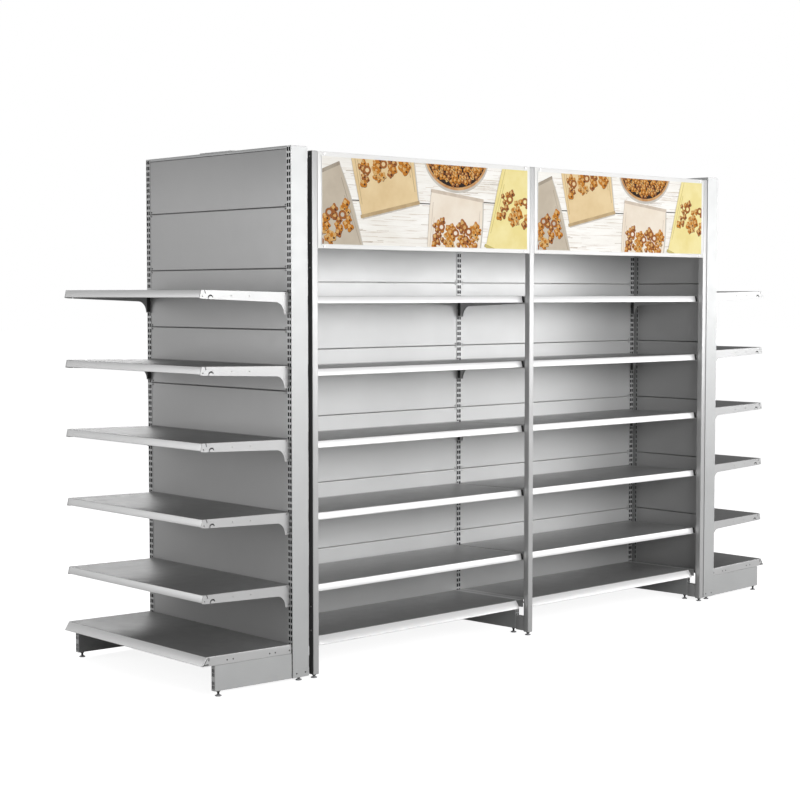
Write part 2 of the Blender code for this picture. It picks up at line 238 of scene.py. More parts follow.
def printed(name, low, high, scale=26.0, fleck=None, rough=0.66):
    """Printed ink layer: two tones that blend, and optional small flecks."""
    mat, nodes, links, bsdf = new_material(name)
    coord = nodes.new("ShaderNodeTexCoord").outputs["Object"]
    shade = noise(nodes, links, coord, scale, 4.0, 0.55)
    colour = blend_colour(nodes, links, remap(nodes, links, shade, 0.0, 1.0, 0.35, 0.65),
                          low, high)
    if fleck:
        spots = noise(nodes, links, coord, scale * 5.0, 2.0, 0.5)
        colour = blend_colour(nodes, links, remap(nodes, links, spots, 0.0, 0.8, 0.60, 0.66),
                              colour, fleck)
    links.new(colour, bsdf.inputs["Base Color"])
    links.new(remap(nodes, links, shade, rough, rough + 0.08), bsdf.inputs["Roughness"])
    bsdf.inputs["Specular IOR Level"].default_value = 0.22
    bump = nodes.new("ShaderNodeBump")
    bump.inputs["Strength"].default_value = 0.05
    bump.inputs["Distance"].default_value = 0.0002
    links.new(noise(nodes, links, coord, 900.0, 2.0), bump.inputs["Height"])
    links.new(bump.outputs["Normal"], bsdf.inputs["Normal"])
    return mat


STEEL = powder("upright_coat", 0.56, 0.32, 0.38, (0.99, 1.0, 1.0))
PANEL = powder("panel_coat", 0.62, 0.30, 0.40, (0.995, 1.0, 1.0), mottle=0.025, marked=0.6)
WALLS = powder("end_wall_coat", 0.50, 0.30, 0.42, mottle=0.025, marked=0.6)
# painted shade and painted light: the same shelf coat is given a dark tone for the tops (darker
# still on the end caps) and a light tone for the fronts; the scuffs are real wear
TRAY_SHADE_SCUFFED = powder("shelf_top_painted_shade_and_scuffs", 0.34, 0.35, 0.36, scuff=(9.0, 260.0, 9.0))
TRAY_SHADE_SCUFFED_CAP = powder("cap_shelf_top_painted_shade_and_scuffs", 0.22, 0.30, 0.44, scuff=(260.0, 9.0, 9.0))
APRON_LIT = powder("shelf_front_painted_light", 0.80, 0.22, 0.34, mottle=0.008, peel=0.03, marked=0.15)
ARM = powder("bracket_coat", 0.60, 0.32, 0.34, marked=0.5)
# painted shade: near-black finish on the outer posts' sides that face the narrow gap beside the
# end caps
GAP_SHADE = powder("gap_side_painted_shade", 0.10, 0.30, 0.60)
MAST = powder("post_coat", 0.56, 0.30, 0.34, coat=0.05)
RIM = powder("sign_frame_coat", 0.84, 0.10, 0.36, (1.0, 0.995, 0.98), marked=0.5)
# painted shade: near-black material put inside tubes and slots and on plates behind holes and
# gaps, where shade falls
SHADE_BLACK = powder("painted_shade_black", 0.07, 0.3, 0.6)
ZINC = plated("zinc_screw", 0.62, 0.28)
STEM = plated("stem_steel", 0.16, 0.36)
GLIDE = moulded("glide_plastic", (0.30, 0.30, 0.31), 0.42)
PLANKS = limed_planks("limed_planks")
PAPER = {
    "taupe": printed("bag_taupe", (0.50, 0.43, 0.34), (0.57, 0.50, 0.40), 9.0),
    "tan": printed("bag_tan", (0.70, 0.52, 0.28), (0.77, 0.60, 0.35), 9.0),
    "cream": printed("bag_cream", (0.78, 0.68, 0.56), (0.84, 0.76, 0.65), 9.0),
    "gold": printed("bag_gold", (0.80, 0.68, 0.28), (0.86, 0.76, 0.38), 9.0),
    "taupe_dk": printed("bag_taupe_seal", (0.32, 0.27, 0.21), (0.40, 0.35, 0.28)),
    "tan_dk": printed("bag_tan_seal", (0.44, 0.31, 0.16), (0.52, 0.38, 0.21)),
    "cream_dk": printed("bag_cream_seal", (0.55, 0.46, 0.37), (0.64, 0.55, 0.46)),
    "gold_dk": printed("bag_gold_seal", (0.54, 0.44, 0.14), (0.62, 0.52, 0.22)),
    "white": printed("band_white", (0.82, 0.80, 0.76), (0.90, 0.89, 0.86)),
    "brown": printed("band_brown", (0.22, 0.15, 0.10), (0.32, 0.22, 0.15)),
    "olive": printed("band_olive", (0.28, 0.29, 0.15), (0.38, 0.38, 0.22)),
    "rim": printed("bowl_rim", (0.46, 0.22, 0.08), (0.62, 0.36, 0.16)),
    "inside": printed("bowl_inside", (0.012, 0.006, 0.004), (0.03, 0.015, 0.01)),
    "bit_a": printed("piece_caramel", (0.26, 0.075, 0.012), (0.40, 0.14, 0.03), 120.0),
    "bit_b": printed("piece_brown", (0.04, 0.012, 0.004), (0.08, 0.025, 0.01), 120.0),
    "bit_c": printed("piece_orange", (0.44, 0.14, 0.01), (0.56, 0.22, 0.02), 120.0),
    "bit_d": printed("piece_biscuit", (0.55, 0.30, 0.09), (0.70, 0.45, 0.18), 120.0),
    "joint": printed("open_joint", (0.012, 0.010, 0.009), (0.03, 0.025, 0.02)),
    "grain": printed("plank_grain", (0.46, 0.35, 0.25), (0.62, 0.52, 0.42)),
    "grain_dk": printed("plank_grain_dark", (0.24, 0.16, 0.10), (0.42, 0.32, 0.24)),
    "shade": printed("soft_shadow", (0.50, 0.46, 0.41), (0.58, 0.54, 0.49)),
    "line": printed("plank_joint", (0.20, 0.15, 0.11), (0.30, 0.23, 0.17)),
}


# --------------------------------------------------------------- mesh building
def to_mesh(bm, name, weld=0.000002):
    if weld:
        bmesh.ops.remove_doubles(bm, verts=bm.verts, dist=weld)
    bmesh.ops.recalc_face_normals(bm, faces=bm.faces)
    me = bpy.data.meshes.new(name)
    bm.to_mesh(me)
    bm.free()
    return me


def block(lo, hi, r=0.0, seg=2):
    """Block between two corners with every edge rounded."""
    bm = bmesh.new()
    size = [hi[i] - lo[i] for i in range(3)]
    mid = [(hi[i] + lo[i]) / 2 for i in range(3)]
    bmesh.ops.create_cube(bm, size=1.0, matrix=Matrix.Translation(mid)
                          @ Matrix.Diagonal((*size, 1.0)))
    if r > 0:
        bmesh.ops.bevel(bm, geom=bm.edges[:], offset=r, segments=seg, profile=0.5,
                        affect='EDGES', clamp_overlap=True)
    return to_mesh(bm, "block")


def fillet(points, radius, seg=3, closed=True):
    """Round the corners of an outline; a point may carry its own radius."""
    out, n = [], len(points)
    for i, pt in enumerate(points):
        p = Vector(pt[:2])
        r = pt[2] if len(pt) > 2 else radius
        if (not closed and i in (0, n - 1)) or r <= 0:
            out.append(tuple(p))
            continue
        u = Vector(points[i - 1][:2]) - p
        v = Vector(points[(i + 1) % n][:2]) - p
        if u.length < 1e-7 or v.length < 1e-7:
            out.append(tuple(p))
            continue
        lu, lv = u.length, v.length
        u.normalize()
        v.normalize()
        ang = u.angle(v)
        if ang > math.pi - 0.02 or ang < 0.02:
            out.append(tuple(p))
            continue
        t = min(r / math.tan(ang / 2), lu * 0.46, lv * 0.46)
        r = t * math.tan(ang / 2)
        c = p + (u + v).normalized() * (r / math.sin(ang / 2))
        s, e = p + u * t - c, p + v * t - c
        a0 = math.atan2(s.y, s.x)
        d = (math.atan2(e.y, e.x) - a0 + math.pi) % (2 * math.pi) - math.pi
        for k in range(seg + 1):
            a = a0 + d * k / seg
            out.append((c.x + r * math.cos(a), c.y + r * math.sin(a)))
    return out


def ribbon(path, thick, radius, seg=3):
    """Closed outline of a folded sheet that follows a path with round bends."""
    mid = [Vector(p) for p in fillet(path, radius, seg, closed=False)]
    left, right = [], []
    for i, p in enumerate(mid):
        a = (mid[i] - mid[i - 1]) if i else (mid[1] - mid[0])
        b = (mid[i + 1] - mid[i]) if i < len(mid) - 1 else a
        a, b = a.normalized(), b.normalized()
        t = (a + b).normalized()
        n = Vector((-t.y, t.x)) * (thick / 2 / max(0.3, t.dot(a)))
        left.append(tuple(p + n))
        right.append(tuple(p - n))
    return left + right[::-1]


def prism(outline, lo, hi, axis='X', bevel=0.0):
    """Extrude a closed 2-D outline. X: (y, z); Y: (x, z); Z: (x, y)."""
    bm = bmesh.new()
    lift = {'X': lambda a, b, c: (c, a, b), 'Y': lambda a, b, c: (a, c, b),
            'Z': lambda a, b, c: (a, b, c)}[axis]
    vec = {'X': (hi - lo, 0, 0), 'Y': (0, hi - lo, 0), 'Z': (0, 0, hi - lo)}[axis]
    face = bm.faces.new([bm.verts.new(lift(a, b, lo)) for a, b in outline])
    out = bmesh.ops.extrude_face_region(bm, geom=[face])
    bmesh.ops.translate(bm, verts=[g for g in out['geom']
                                   if isinstance(g, bmesh.types.BMVert)], vec=vec)
    bmesh.ops.recalc_face_normals(bm, faces=bm.faces)
    if bevel > 0:
        caps = [e for e in bm.edges if len(e.link_faces) == 2
                and any(len(f.verts) == len(outline) for f in e.link_faces)
                and e.calc_face_angle(0) > 0.5]
        bmesh.ops.bevel(bm, geom=caps, offset=bevel, segments=1, profile=0.5,
                        affect='EDGES', clamp_overlap=True)
    return to_mesh(bm, "prism", 0)


def turned(profile, x=0.0, y=0.0, sides=28):
    """Closed turned solid about a vertical axis from (radius, z) points."""
    bm = bmesh.new()
    rings = []
    for r, z in profile:
        if r < 1e-6:
            rings.append([bm.verts.new((x, y, z))])
        else:
            rings.append([bm.verts.new((x + r * math.cos(2 * math.pi * k / sides),
                                        y + r * math.sin(2 * math.pi * k / sides), z))
                          for k in range(sides)])
    for a, b in zip(rings, rings[1:]):
        for k in range(sides):
            q = [a[k % len(a)], a[(k + 1) % len(a)], b[(k + 1) % len(b)], b[k % len(b)]]
            q = list(dict.fromkeys(q))
            if len(q) > 2:
                bm.faces.new(q)
    return to_mesh(bm, "turned", 0)


def cells(xs, ys, zs, solid):
    """Closed solid made of the grid cells for which solid(x, y, z) holds."""
    bm = bmesh.new()
    verts = {}

    def v(*k):
        if k not in verts:
            verts[k] = bm.verts.new((xs[k[0]], ys[k[1]], zs[k[2]]))
        return verts[k]

    full = {(i, j, k) for i in range(len(xs) - 1) for j in range(len(ys) - 1)
            for k in range(len(zs) - 1)
            if solid((xs[i] + xs[i + 1]) / 2, (ys[j] + ys[j + 1]) / 2,
                     (zs[k] + zs[k + 1]) / 2)}
    for i, j, k in full:
        if (i - 1, j, k) not in full:
            bm.faces.new((v(i, j, k), v(i, j, k + 1), v(i, j + 1, k + 1), v(i, j + 1, k)))
        if (i + 1, j, k) not in full:
            bm.faces.new((v(i + 1, j, k), v(i + 1, j + 1, k), v(i + 1, j + 1, k + 1),
                          v(i + 1, j, k + 1)))
        if (i, j - 1, k) not in full:
            bm.faces.new((v(i, j, k), v(i + 1, j, k), v(i + 1, j, k + 1), v(i, j, k + 1)))
        if (i, j + 1, k) not in full:
            bm.faces.new((v(i, j + 1, k), v(i, j + 1, k + 1), v(i + 1, j + 1, k + 1),
                          v(i + 1, j + 1, k)))
        if (i, j, k - 1) not in full:
            bm.faces.new((v(i, j, k), v(i, j + 1, k), v(i + 1, j + 1, k), v(i + 1, j, k)))
        if (i, j, k + 1) not in full:
            bm.faces.new((v(i, j, k + 1), v(i + 1, j, k + 1), v(i + 1, j + 1, k + 1),
                          v(i, j + 1, k + 1)))
    return bm


def combine(base, others, how='DIFFERENCE'):
    """Exact boolean of a base mesh with a list of meshes."""
    if not others:
        return base
    tool_bm = bmesh.new()
    for me in others:
        tool_bm.from_mesh(me)
    tool_me = bpy.data.meshes.new("tool")
    tool_bm.to_mesh(tool_me)
    tool_bm.free()
    obj = bpy.data.objects.new("work", base)
    tool = bpy.data.objects.new("tool", tool_me)
    for o in (obj, tool):
        bpy.context.scene.collection.objects.link(o)
    mod = obj.modifiers.new("b", 'BOOLEAN')
    mod.operation, mod.solver, mod.object = how, 'EXACT', tool
    deps = bpy.context.evaluated_depsgraph_get()
    me = bpy.data.meshes.new_from_object(obj.evaluated_get(deps))
    me.materials.clear()
    for o in (obj, tool):
        bpy.data.objects.remove(o, do_unlink=True)
    return me


def place(mesh, x=0.0, y=0.0, z=0.0, turn=0.0):
    me = mesh.copy()
    me.transform(Matrix.Translation((x, y, z)) @ Matrix.Rotation(turn, 4, 'Z'))
    return me


def climb(mesh):
    """Shear a piece built outward along +Y so that it rises outward."""
    for vert in mesh.vertices:
        if vert.co.y > 0.0:
            vert.co.z += RISE * vert.co.y
    return mesh


def merge(parts):
    """One mesh of several closed solids: a list of (mesh, material), where the
    second may be a tuple of materials in the order of the mesh's own indices."""
    out = bmesh.new()
    mats = []
    for me, own in parts:
        own = own if isinstance(own, tuple) else (own,) * 4
        for mat in own:
            if mat not in mats:
                mats.append(mat)
        start = len(out.faces)
        out.from_mesh(me)
        out.faces.ensure_lookup_table()
        for f in out.faces[start:]:
            f.material_index = mats.index(own[min(f.material_index, len(own) - 1)])
    me = bpy.data.meshes.new("merged")
    out.to_mesh(me)
    out.free()
    for m in mats:
        me.materials.append(m)
    return me


def show(name, mesh, body, stands_for=(), angle=32.0, mats=None):
    """Put a piece in the scene, riding on its body."""
    mesh.name = name
    if mats is not None:
        for m in mats:
            mesh.materials.append(m)
    mesh.shade_smooth()
    mesh.set_sharp_from_angle(angle=math.radians(angle))
    obj = bpy.data.objects.new(name, mesh)
    bpy.context.scene.collection.objects.link(obj)
    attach(obj, body)
    if stands_for:
        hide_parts(*stands_for)
    return obj


def disc(cx, cy, r, z0, z1, axis='Z', sides=20, chamfer=0.0):
    """Short round solid along an axis, its outer edge chamfered at the z1 end."""
    prof = [(0, z0), (r, z0), (r, z1 - chamfer), (r - chamfer, z1), (0, z1)] if z1 > z0 \
        else [(0, z0), (r, z0), (r, z1 + chamfer), (r - chamfer, z1), (0, z1)]
    if chamfer <= 0:
        prof = [(0, z0), (r, z0), (r, z1), (0, z1)]
    me = turned(prof, 0, 0, sides)
    if axis == 'Y':
        me.transform(Matrix.Translation((cx, 0, cy)) @ Matrix.Rotation(-math.pi / 2, 4, 'X'))
    elif axis == 'X':
        me.transform(Matrix.Translation((0, cx, cy)) @ Matrix.Rotation(math.pi / 2, 4, 'Y'))
    else:
        me.transform(Matrix.Translation((cx, cy, 0)))
    return me


def screw(cx, cz, face, out, axis='Y', r=0.0055):
    """Pan-head screw with a cross recess; out is +1 or -1 along the axis."""
    head = disc(cx, cz, r, face - out * 0.0005, face + out * 0.0022, axis, 20, 0.0010)
    a = 0.0006
    if axis == 'Y':
        y0, y1 = sorted((face + out * 0.0012, face + out * 0.004))
        cut = [block((cx - 0.003, y0, cz - a), (cx + 0.003, y1, cz + a)),
               block((cx - a, y0, cz - 0.003), (cx + a, y1, cz + 0.003))]
    elif axis == 'X':
        x0, x1 = sorted((face + out * 0.0012, face + out * 0.004))
        cut = [block((x0, cx - 0.003, cz - a), (x1, cx + 0.003, cz + a)),
               block((x0, cx - a, cz - 0.003), (x1, cx + a, cz + 0.003))]
    else:
        z0, z1 = sorted((face + out * 0.0012, face + out * 0.004))
        cut = [block((cx - 0.003, cz - a, z0), (cx + 0.003, cz + a, z1)),
               block((cx - a, cz - 0.003, z0), (cx + a, cz + 0.003, z1))]
    cross = combine(cut[0], [cut[1]], 'UNION')
    return combine(head, [cross])


# --------------------------------------------------------------- levelling foot
def levelling_foot(x, y, top):
    """Glide, threaded stem and hex nut under a tube whose underside is at top."""
    glide = turned([(0, 0), (0.0128, 0), (0.0135, 0.0008), (0.0135, 0.0026),
                    (0.0120, 0.0040), (0.0075, 0.0056), (0.0070, 0.0066), (0, 0.0066)],
                   x, y, 32)
    prof, z, k = [(0, 0.0050), (0.0044, 0.0050)], 0.0052, 0
    while z < top + 0.004:
        prof.append((0.0044 if k % 2 else 0.0050, z))
        z += 0.0006
        k += 1
    prof.append((0, z))
    stem = turned(prof, x, y, 20)
    nut_lo = top - 0.0050
    nut = turned([(0, nut_lo), (0.0076, nut_lo), (0.0086, nut_lo + 0.0008),
                  (0.0086, top - 0.0012), (0.0076, top - 0.0004), (0, top - 0.0004)], x, y, 6)
    return [(glide, GLIDE), (stem, STEM), (nut, STEM)]


# --------------------------------------------------------------------- uprights
def slot_lines(top, low):
    k = math.ceil((SLOT_Z - top + 0.010) / SLOT)
    out = []
    while SLOT_Z - k * SLOT - 0.008 > low:
        out.append(SLOT_Z - k * SLOT)
        k += 1
    return out


def tube_with_slots(half_w, y0, y1, z0, z1, faces, low=0.07, hole_z=(), side_holes=()):
    """Square tube, open at both ends, with two columns of slots in the named
    faces ('front' at y1, 'back' at y0)."""
    a, b = SLOT_IN, SLOT_OUT
    centres = slot_lines(z1, low)
    xs = sorted({-half_w, -half_w + WALL, -b, -a, a, b, half_w - WALL, half_w})
    ys = [y0, y0 + WALL, y1 - WALL, y1]
    zs = sorted({z0, z1} | {c + s * 0.008 for c in centres for s in (-1, 1)})
    lines = sorted(centres)

    def slotted(x, z):
        if not a < abs(x) < b:
            return False
        k = round((SLOT_Z - z) / SLOT)
        c = SLOT_Z - k * SLOT
        return abs(z - c) < 0.008 and lines[0] - 0.001 < c < lines[-1] + 0.001

    def solid(x, y, z):
        wall_x = abs(x) > half_w - WALL
        front, back = y > y1 - WALL, y < y0 + WALL
        if not (wall_x or front or back):
            return False
        if front and 'front' in faces and slotted(x, z):
            return False
        return not (back and 'back' in faces and slotted(x, z))

    bm = cells(xs, ys, zs, solid)
    edges = [e for e in bm.edges
             if all(abs(abs(v.co.x) - half_w) < 1e-6 for v in e.verts)
             and (all(abs(v.co.y - y0) < 1e-6 for v in e.verts)
                  or all(abs(v.co.y - y1) < 1e-6 for v in e.verts))
             and abs(e.verts[0].co.z - e.verts[1].co.z) > 1e-6]
    bmesh.ops.bevel(bm, geom=edges, offset=0.0018, segments=2, profile=0.5,
                    affect='EDGES', clamp_overlap=True)
    for f in bm.faces:                             # painted shade on the inside faces and the slot edges
        c = f.calc_center_median()
        f.material_index = 1 if (abs(c.x) < half_w - 0.0005
                                 and y0 + 1e-5 < c.y < y1 - 1e-5
                                 and z0 + 1e-5 < c.z < z1 - 1e-5) else 0
    return to_mesh(bm, "tube", 0)


def leg_mesh():
    """Base leg outward along +Y from the slotted face, rising with the deck."""
    out = [(0.0030, FOOT_LIFT), (LEG_OUT, FOOT_LIFT), (LEG_OUT, LEG_TOP), (0.0030, LEG_TOP)]
    body = prism(fillet(out, 0.0012, 2), -LEG_W / 2, LEG_W / 2, 'X', bevel=0.0012)
    cuts = [block((-LEG_W / 2 + WALL, 0.010, FOOT_LIFT + WALL),
                  (LEG_W / 2 - WALL, LEG_OUT - WALL, LEG_TOP - WALL))]
    for z in (0.038, 0.088):
        for s in (-1, 1):
            for q in (-1, 1):
                cuts.append(block(
                    (s * 0.0052 - 0.0030, LEG_OUT - 0.006, z + q * 0.0082 - 0.0068),
                    (s * 0.0052 + 0.0030, LEG_OUT + 0.004, z + q * 0.0082 + 0.0068)))
    leg = climb(combine(body, cuts))
    for p in leg.polygons:                         # painted shade on the inside faces and the slot edges
        c = p.center
        inner = abs(c.x) < LEG_W / 2 - 0.0006 and 0.006 < c.y < LEG_OUT - 0.0003 \
            and FOOT_LIFT + 0.0015 < c.z - RISE * c.y < LEG_TOP - 0.0015
        p.material_index = 1 if inner else 0
    return leg


def leg_gap_shade():
    """Near-black plate in the gap where a leg joins its upright: painted shade of that gap."""
    return climb(block((-0.0095, -0.0006, FOOT_LIFT + 0.004),
                       (0.0095, 0.0036, LEG_TOP - 0.004), 0.0004, 1))


def foot_plate(x0, x1, y0, y1, holes):
    """Shoe round the bottom of an end-cap upright, open above, with side holes."""
    zs = (FOOT_LIFT - 0.0004, FOOT_LIFT + 0.034)
    outer = block((x0, y0, zs[0]), (x1, y1, zs[1]), 0.0008, 1)
    cuts = [block((x0 + 0.0012, y0 + 0.0012, zs[0] + 0.0012),
                  (x1 - 0.0012, y1 - 0.0012, zs[1] + 0.01))]
    for hx in holes:
        me = disc(hx, FOOT_LIFT + 0.017, 0.0042, y0 - 0.01, y1 + 0.01, 'Y', 16)
        me.transform(Matrix.Identity(4))
        cuts.append(me)
    return combine(outer, cuts)


def core_upright(x):
    """Centre upright with a base leg and feet to each side of the run."""
    h = CORE_D / 2
    parts = [(tube_with_slots(UP_W / 2, -h, h, FOOT_LIFT, CORE_TOP, ('front', 'back'), 0.13),
              (STEEL, SHADE_BLACK))]
    leg = leg_mesh()
    parts.append((place(leg, 0, h), (STEEL, SHADE_BLACK)))
    parts.append((place(leg, 0, -h, 0, math.pi), (STEEL, SHADE_BLACK)))
    # near-black plates in the gaps at the leg roots: painted shade
    parts.append((place(leg_gap_shade(), 0, h), SHADE_BLACK))
    parts.append((place(leg_gap_shade(), 0, -h, 0, math.pi), SHADE_BLACK))
    reach = LEG_OUT - 0.025
    lift = FOOT_LIFT + RISE * reach
    for y, top in ((h + reach, lift), (-h - reach, lift), (0.0, FOOT_LIFT)):
        parts += levelling_foot(0.0, y, top)
    parts.append((block((-UP_W / 2 + 0.001, -h + 0.001, FOOT_LIFT - 0.0002),
                        (UP_W / 2 - 0.001, h - 0.001, FOOT_LIFT + 0.0022), 0.0005, 1), STEEL))
    me = merge(parts)
    me.transform(Matrix.Translation((x, 0, 0)))
    return me


def end_upright():
    """End-cap upright, slotted face at y = 0 looking along +Y, with one leg."""
    parts = [(tube_with_slots(UP_W / 2, -END_D, 0.0, FOOT_LIFT, END_TOP - 0.001,
                              ('front',), 0.06), (STEEL, SHADE_BLACK))]
    parts.append((block((-UP_W / 2 + 0.0022, -END_D + 0.0022, END_TOP - 0.004),
                        (UP_W / 2 - 0.0022, -0.0022, END_TOP - 0.0002), 0.0008, 1), STEEL))
    parts.append((leg_mesh(), (STEEL, SHADE_BLACK)))
    # near-black plate in the gap at the leg root: painted shade
    parts.append((leg_gap_shade(), SHADE_BLACK))
    reach = LEG_OUT - 0.025
    parts += levelling_foot(0.0, reach, FOOT_LIFT + RISE * reach)
    parts += levelling_foot(0.0, -END_D / 2, FOOT_LIFT)
    shoe = foot_plate(-UP_W / 2 - 0.0013, UP_W / 2 + 0.0013, -END_D - 0.0013, 0.0006, ())
    holes = [disc(hy, FOOT_LIFT + 0.017, 0.0042, -0.03, 0.03, 'X', 16)
             for hy in (-0.020, -0.066)]
    shoe = combine(shoe, holes)
    parts.append((shoe, STEEL))
    # near-black discs behind the shoe's side holes: painted shade
    for hy in (-0.020, -0.066):
        for s in (-1, 1):
            parts.append((disc(hy, FOOT_LIFT + 0.017, 0.0034, s * 0.0148, s * 0.0156, 'X', 16),
                          SHADE_BLACK))
    return merge(parts)


# ---------------------------------------------------------------------- shelves
def bracket(side):
    """Shelf bracket plate at x = 0 .. PLATE, built outward along +Y."""
    g, reach = 0.0003, 0.0068
    front = SHELF_D + SPLAY - 0.0006
    out = [(g, -0.0006, 0.0)]
    for hi in (-0.0150, -0.0650):
        lo = hi - 0.0120
        out += [(g, hi, 0.0), (-reach, hi, 0.0015), (-reach, lo - 0.0026, 0.0012),
                (-0.0030, lo - 0.0026, 0.0006), (-0.0026, lo, 0.0004), (g, lo, 0.0)]
    out += [(g, -0.091, 0.0015), (0.021, -0.091, 0.003)]
    for i in range(1, 10):
        a = math.radians(9.0 * i)
        out.append((0.021 + 0.041 * (1 - math.cos(a)), -0.091 + 0.049 * math.sin(a), 0.0))
    out += [(0.062, -0.042, 0.004), (SHELF_D - 0.010, -0.035, 0.0), (front, -0.0330, 0.002),
            (SHELF_D - 0.0010, -0.0006, 0.0012)]
    plate = prism(fillet(out, 0.0, 3), 0.0, PLATE, 'X', bevel=0.0003)
    n = (-0.01, PLATE + 0.01)
    cuts = [
        disc(SHELF_D - 0.0070, -0.0255, 0.0027, *n, 'X', 16),          # nose hole
        disc(0.0060, -0.0820, 0.0024, *n, 'X', 16),                    # tail hole
        prism([(SHELF_D - 0.0175, 0.004), (SHELF_D - 0.0135, 0.004),
               (SHELF_D - 0.0205, -0.0155), (SHELF_D - 0.0240, -0.0135)], *n, 'X'),
        # divider hook: an arch open at the bottom edge
        prism([(SHELF_D - 0.0430, -0.050), (SHELF_D - 0.0375, -0.050),
               (SHELF_D - 0.0375, -0.0290), (SHELF_D - 0.0440, -0.0240),
               (SHELF_D - 0.0520, -0.0250), (SHELF_D - 0.0560, -0.0310),
               (SHELF_D - 0.0590, -0.0270), (SHELF_D - 0.0530, -0.0185),
               (SHELF_D - 0.0430, -0.0180), (SHELF_D - 0.0350, -0.0225),
               (SHELF_D - 0.0325, -0.0300), (SHELF_D - 0.0325, -0.050)][2:] , *n, 'X'),
        block((n[0], 0.0100, -0.0085), (n[1], 0.0150, -0.0045)),       # small notch
        disc(0.200, -0.020, 0.0030, *n, 'X', 16),
        disc(0.290, -0.020, 0.0030, *n, 'X', 16),
    ]
    return combine(plate, cuts)


def tray(half, corner, inset):
    """Folded shelf tray: upturned rear edge, flat top, leaning front with a
    return, its front corners rolled back."""
    t = SHEET
    top = -t / 2
    foot_y = SHELF_D + SPLAY
    path = [(0.0066, 0.0044), (0.0066, top), (SHELF_D - t / 2, top),
            (foot_y - t / 2, -LIP + t / 2), (foot_y - 0.0145, -LIP + t / 2),
            (foot_y - 0.0160, -LIP + 0.0060)]
    outline = ribbon(path, t, 0.0022, 3)
    me = prism(outline, -half, half, 'X')
    bm = bmesh.new()
    bm.from_mesh(me)
    # cut planes near the ends so that the front can be rolled back there
    for s in (-1, 1):
        for k in range(9):
            x = s * (half - corner * (1 - k / 8.0) - 0.0004)
            bmesh.ops.bisect_plane(bm, geom=bm.verts[:] + bm.edges[:] + bm.faces[:],
                                   dist=1e-6, plane_co=(x, 0, 0), plane_no=(1, 0, 0))
    for v in bm.verts:
        u = (abs(v.co.x) - (half - corner)) / corner
        if u > 0 and v.co.y > SHELF_D * 0.8:
            bite = inset * (1 - math.sqrt(max(0.0, 1 - min(u, 1.0) ** 2)))
            w = min(1.0, max(0.0, (v.co.y - (SHELF_D - 0.05)) / 0.03))
            v.co.y -= bite * w
    return to_mesh(bm, "tray", 0)


def shelf_mesh(width, corner, inset, top_mat, rib=True):
    half = width / 2
    body = tray(half - PLATE - 0.0004, corner, inset)
    body = climb(body)
    # painted light on the front faces, painted shade on the top and the rest of the tray
    for p in body.polygons:
        c = p.center
        p.material_index = 1 if (c.y > SHELF_D - 0.0305 and c.z - RISE * c.y < -0.0009) else 0
    plate = bracket(1)
    left = climb(place(plate, -half))
    right = climb(place(plate, half - PLATE))
    out = bmesh.new()
    out.from_mesh(body)
    mats = [top_mat, APRON_LIT, ARM, ZINC, SHADE_BLACK]
    extra = [(left, 2), (right, 2)]
    # near-black pads behind the bracket cut-outs: painted shade
    for s in (-1, 1):
        x0, x1 = sorted((s * (half - PLATE - 0.0001), s * (half - PLATE - 0.0008)))
        pad = prism([(SHELF_D - 0.0620, -0.0300), (SHELF_D + SPLAY - 0.0030, -0.0300),
                     (SHELF_D - 0.0016, -0.0014), (SHELF_D - 0.0620, -0.0014)], x0, x1, 'X')
        extra.append((climb(pad), 4))
        pad = block((x0, 0.0008, -0.0875), (x1, 0.0185, -0.0030))
        extra.append((climb(pad), 4))
    # stiffening hat under the tray and the tabs spot-welded to the brackets
    if rib:
        hat = prism(ribbon([(-0.045, -0.0018), (-0.028, -0.0018), (-0.022, -0.0150),
                            (0.022, -0.0150), (0.028, -0.0018), (0.045, -0.0018)],
                           0.0010, 0.002, 2), -half + 0.012, half - 0.012, 'X')
        hat.transform(Matrix.Translation((0, 0.215, 0)))
        extra.append((climb(hat), 0))
        for s in (-1, 1):
            for y in (0.200, 0.290):
                cx = s * (half - PLATE)
                me = disc(y, -0.020, 0.0042, 0.0, 0.0018, 'X', 14, 0.0006)
                if s > 0:
                    me.transform(Matrix.Rotation(math.pi, 4, 'Z'))
                    me.transform(Matrix.Translation((0, 2 * y, 0)))
                me.transform(Matrix.Translation((cx, 0, 0)))
                extra.append((climb(me), 3))
    for me, index in extra:
        start = len(out.faces)
        out.from_mesh(me)
        out.faces.ensure_lookup_table()
        for f in out.faces[start:]:
            f.material_index = index
    me = bpy.data.meshes.new("shelf")
    out.to_mesh(me)
    out.free()
    return me, mats


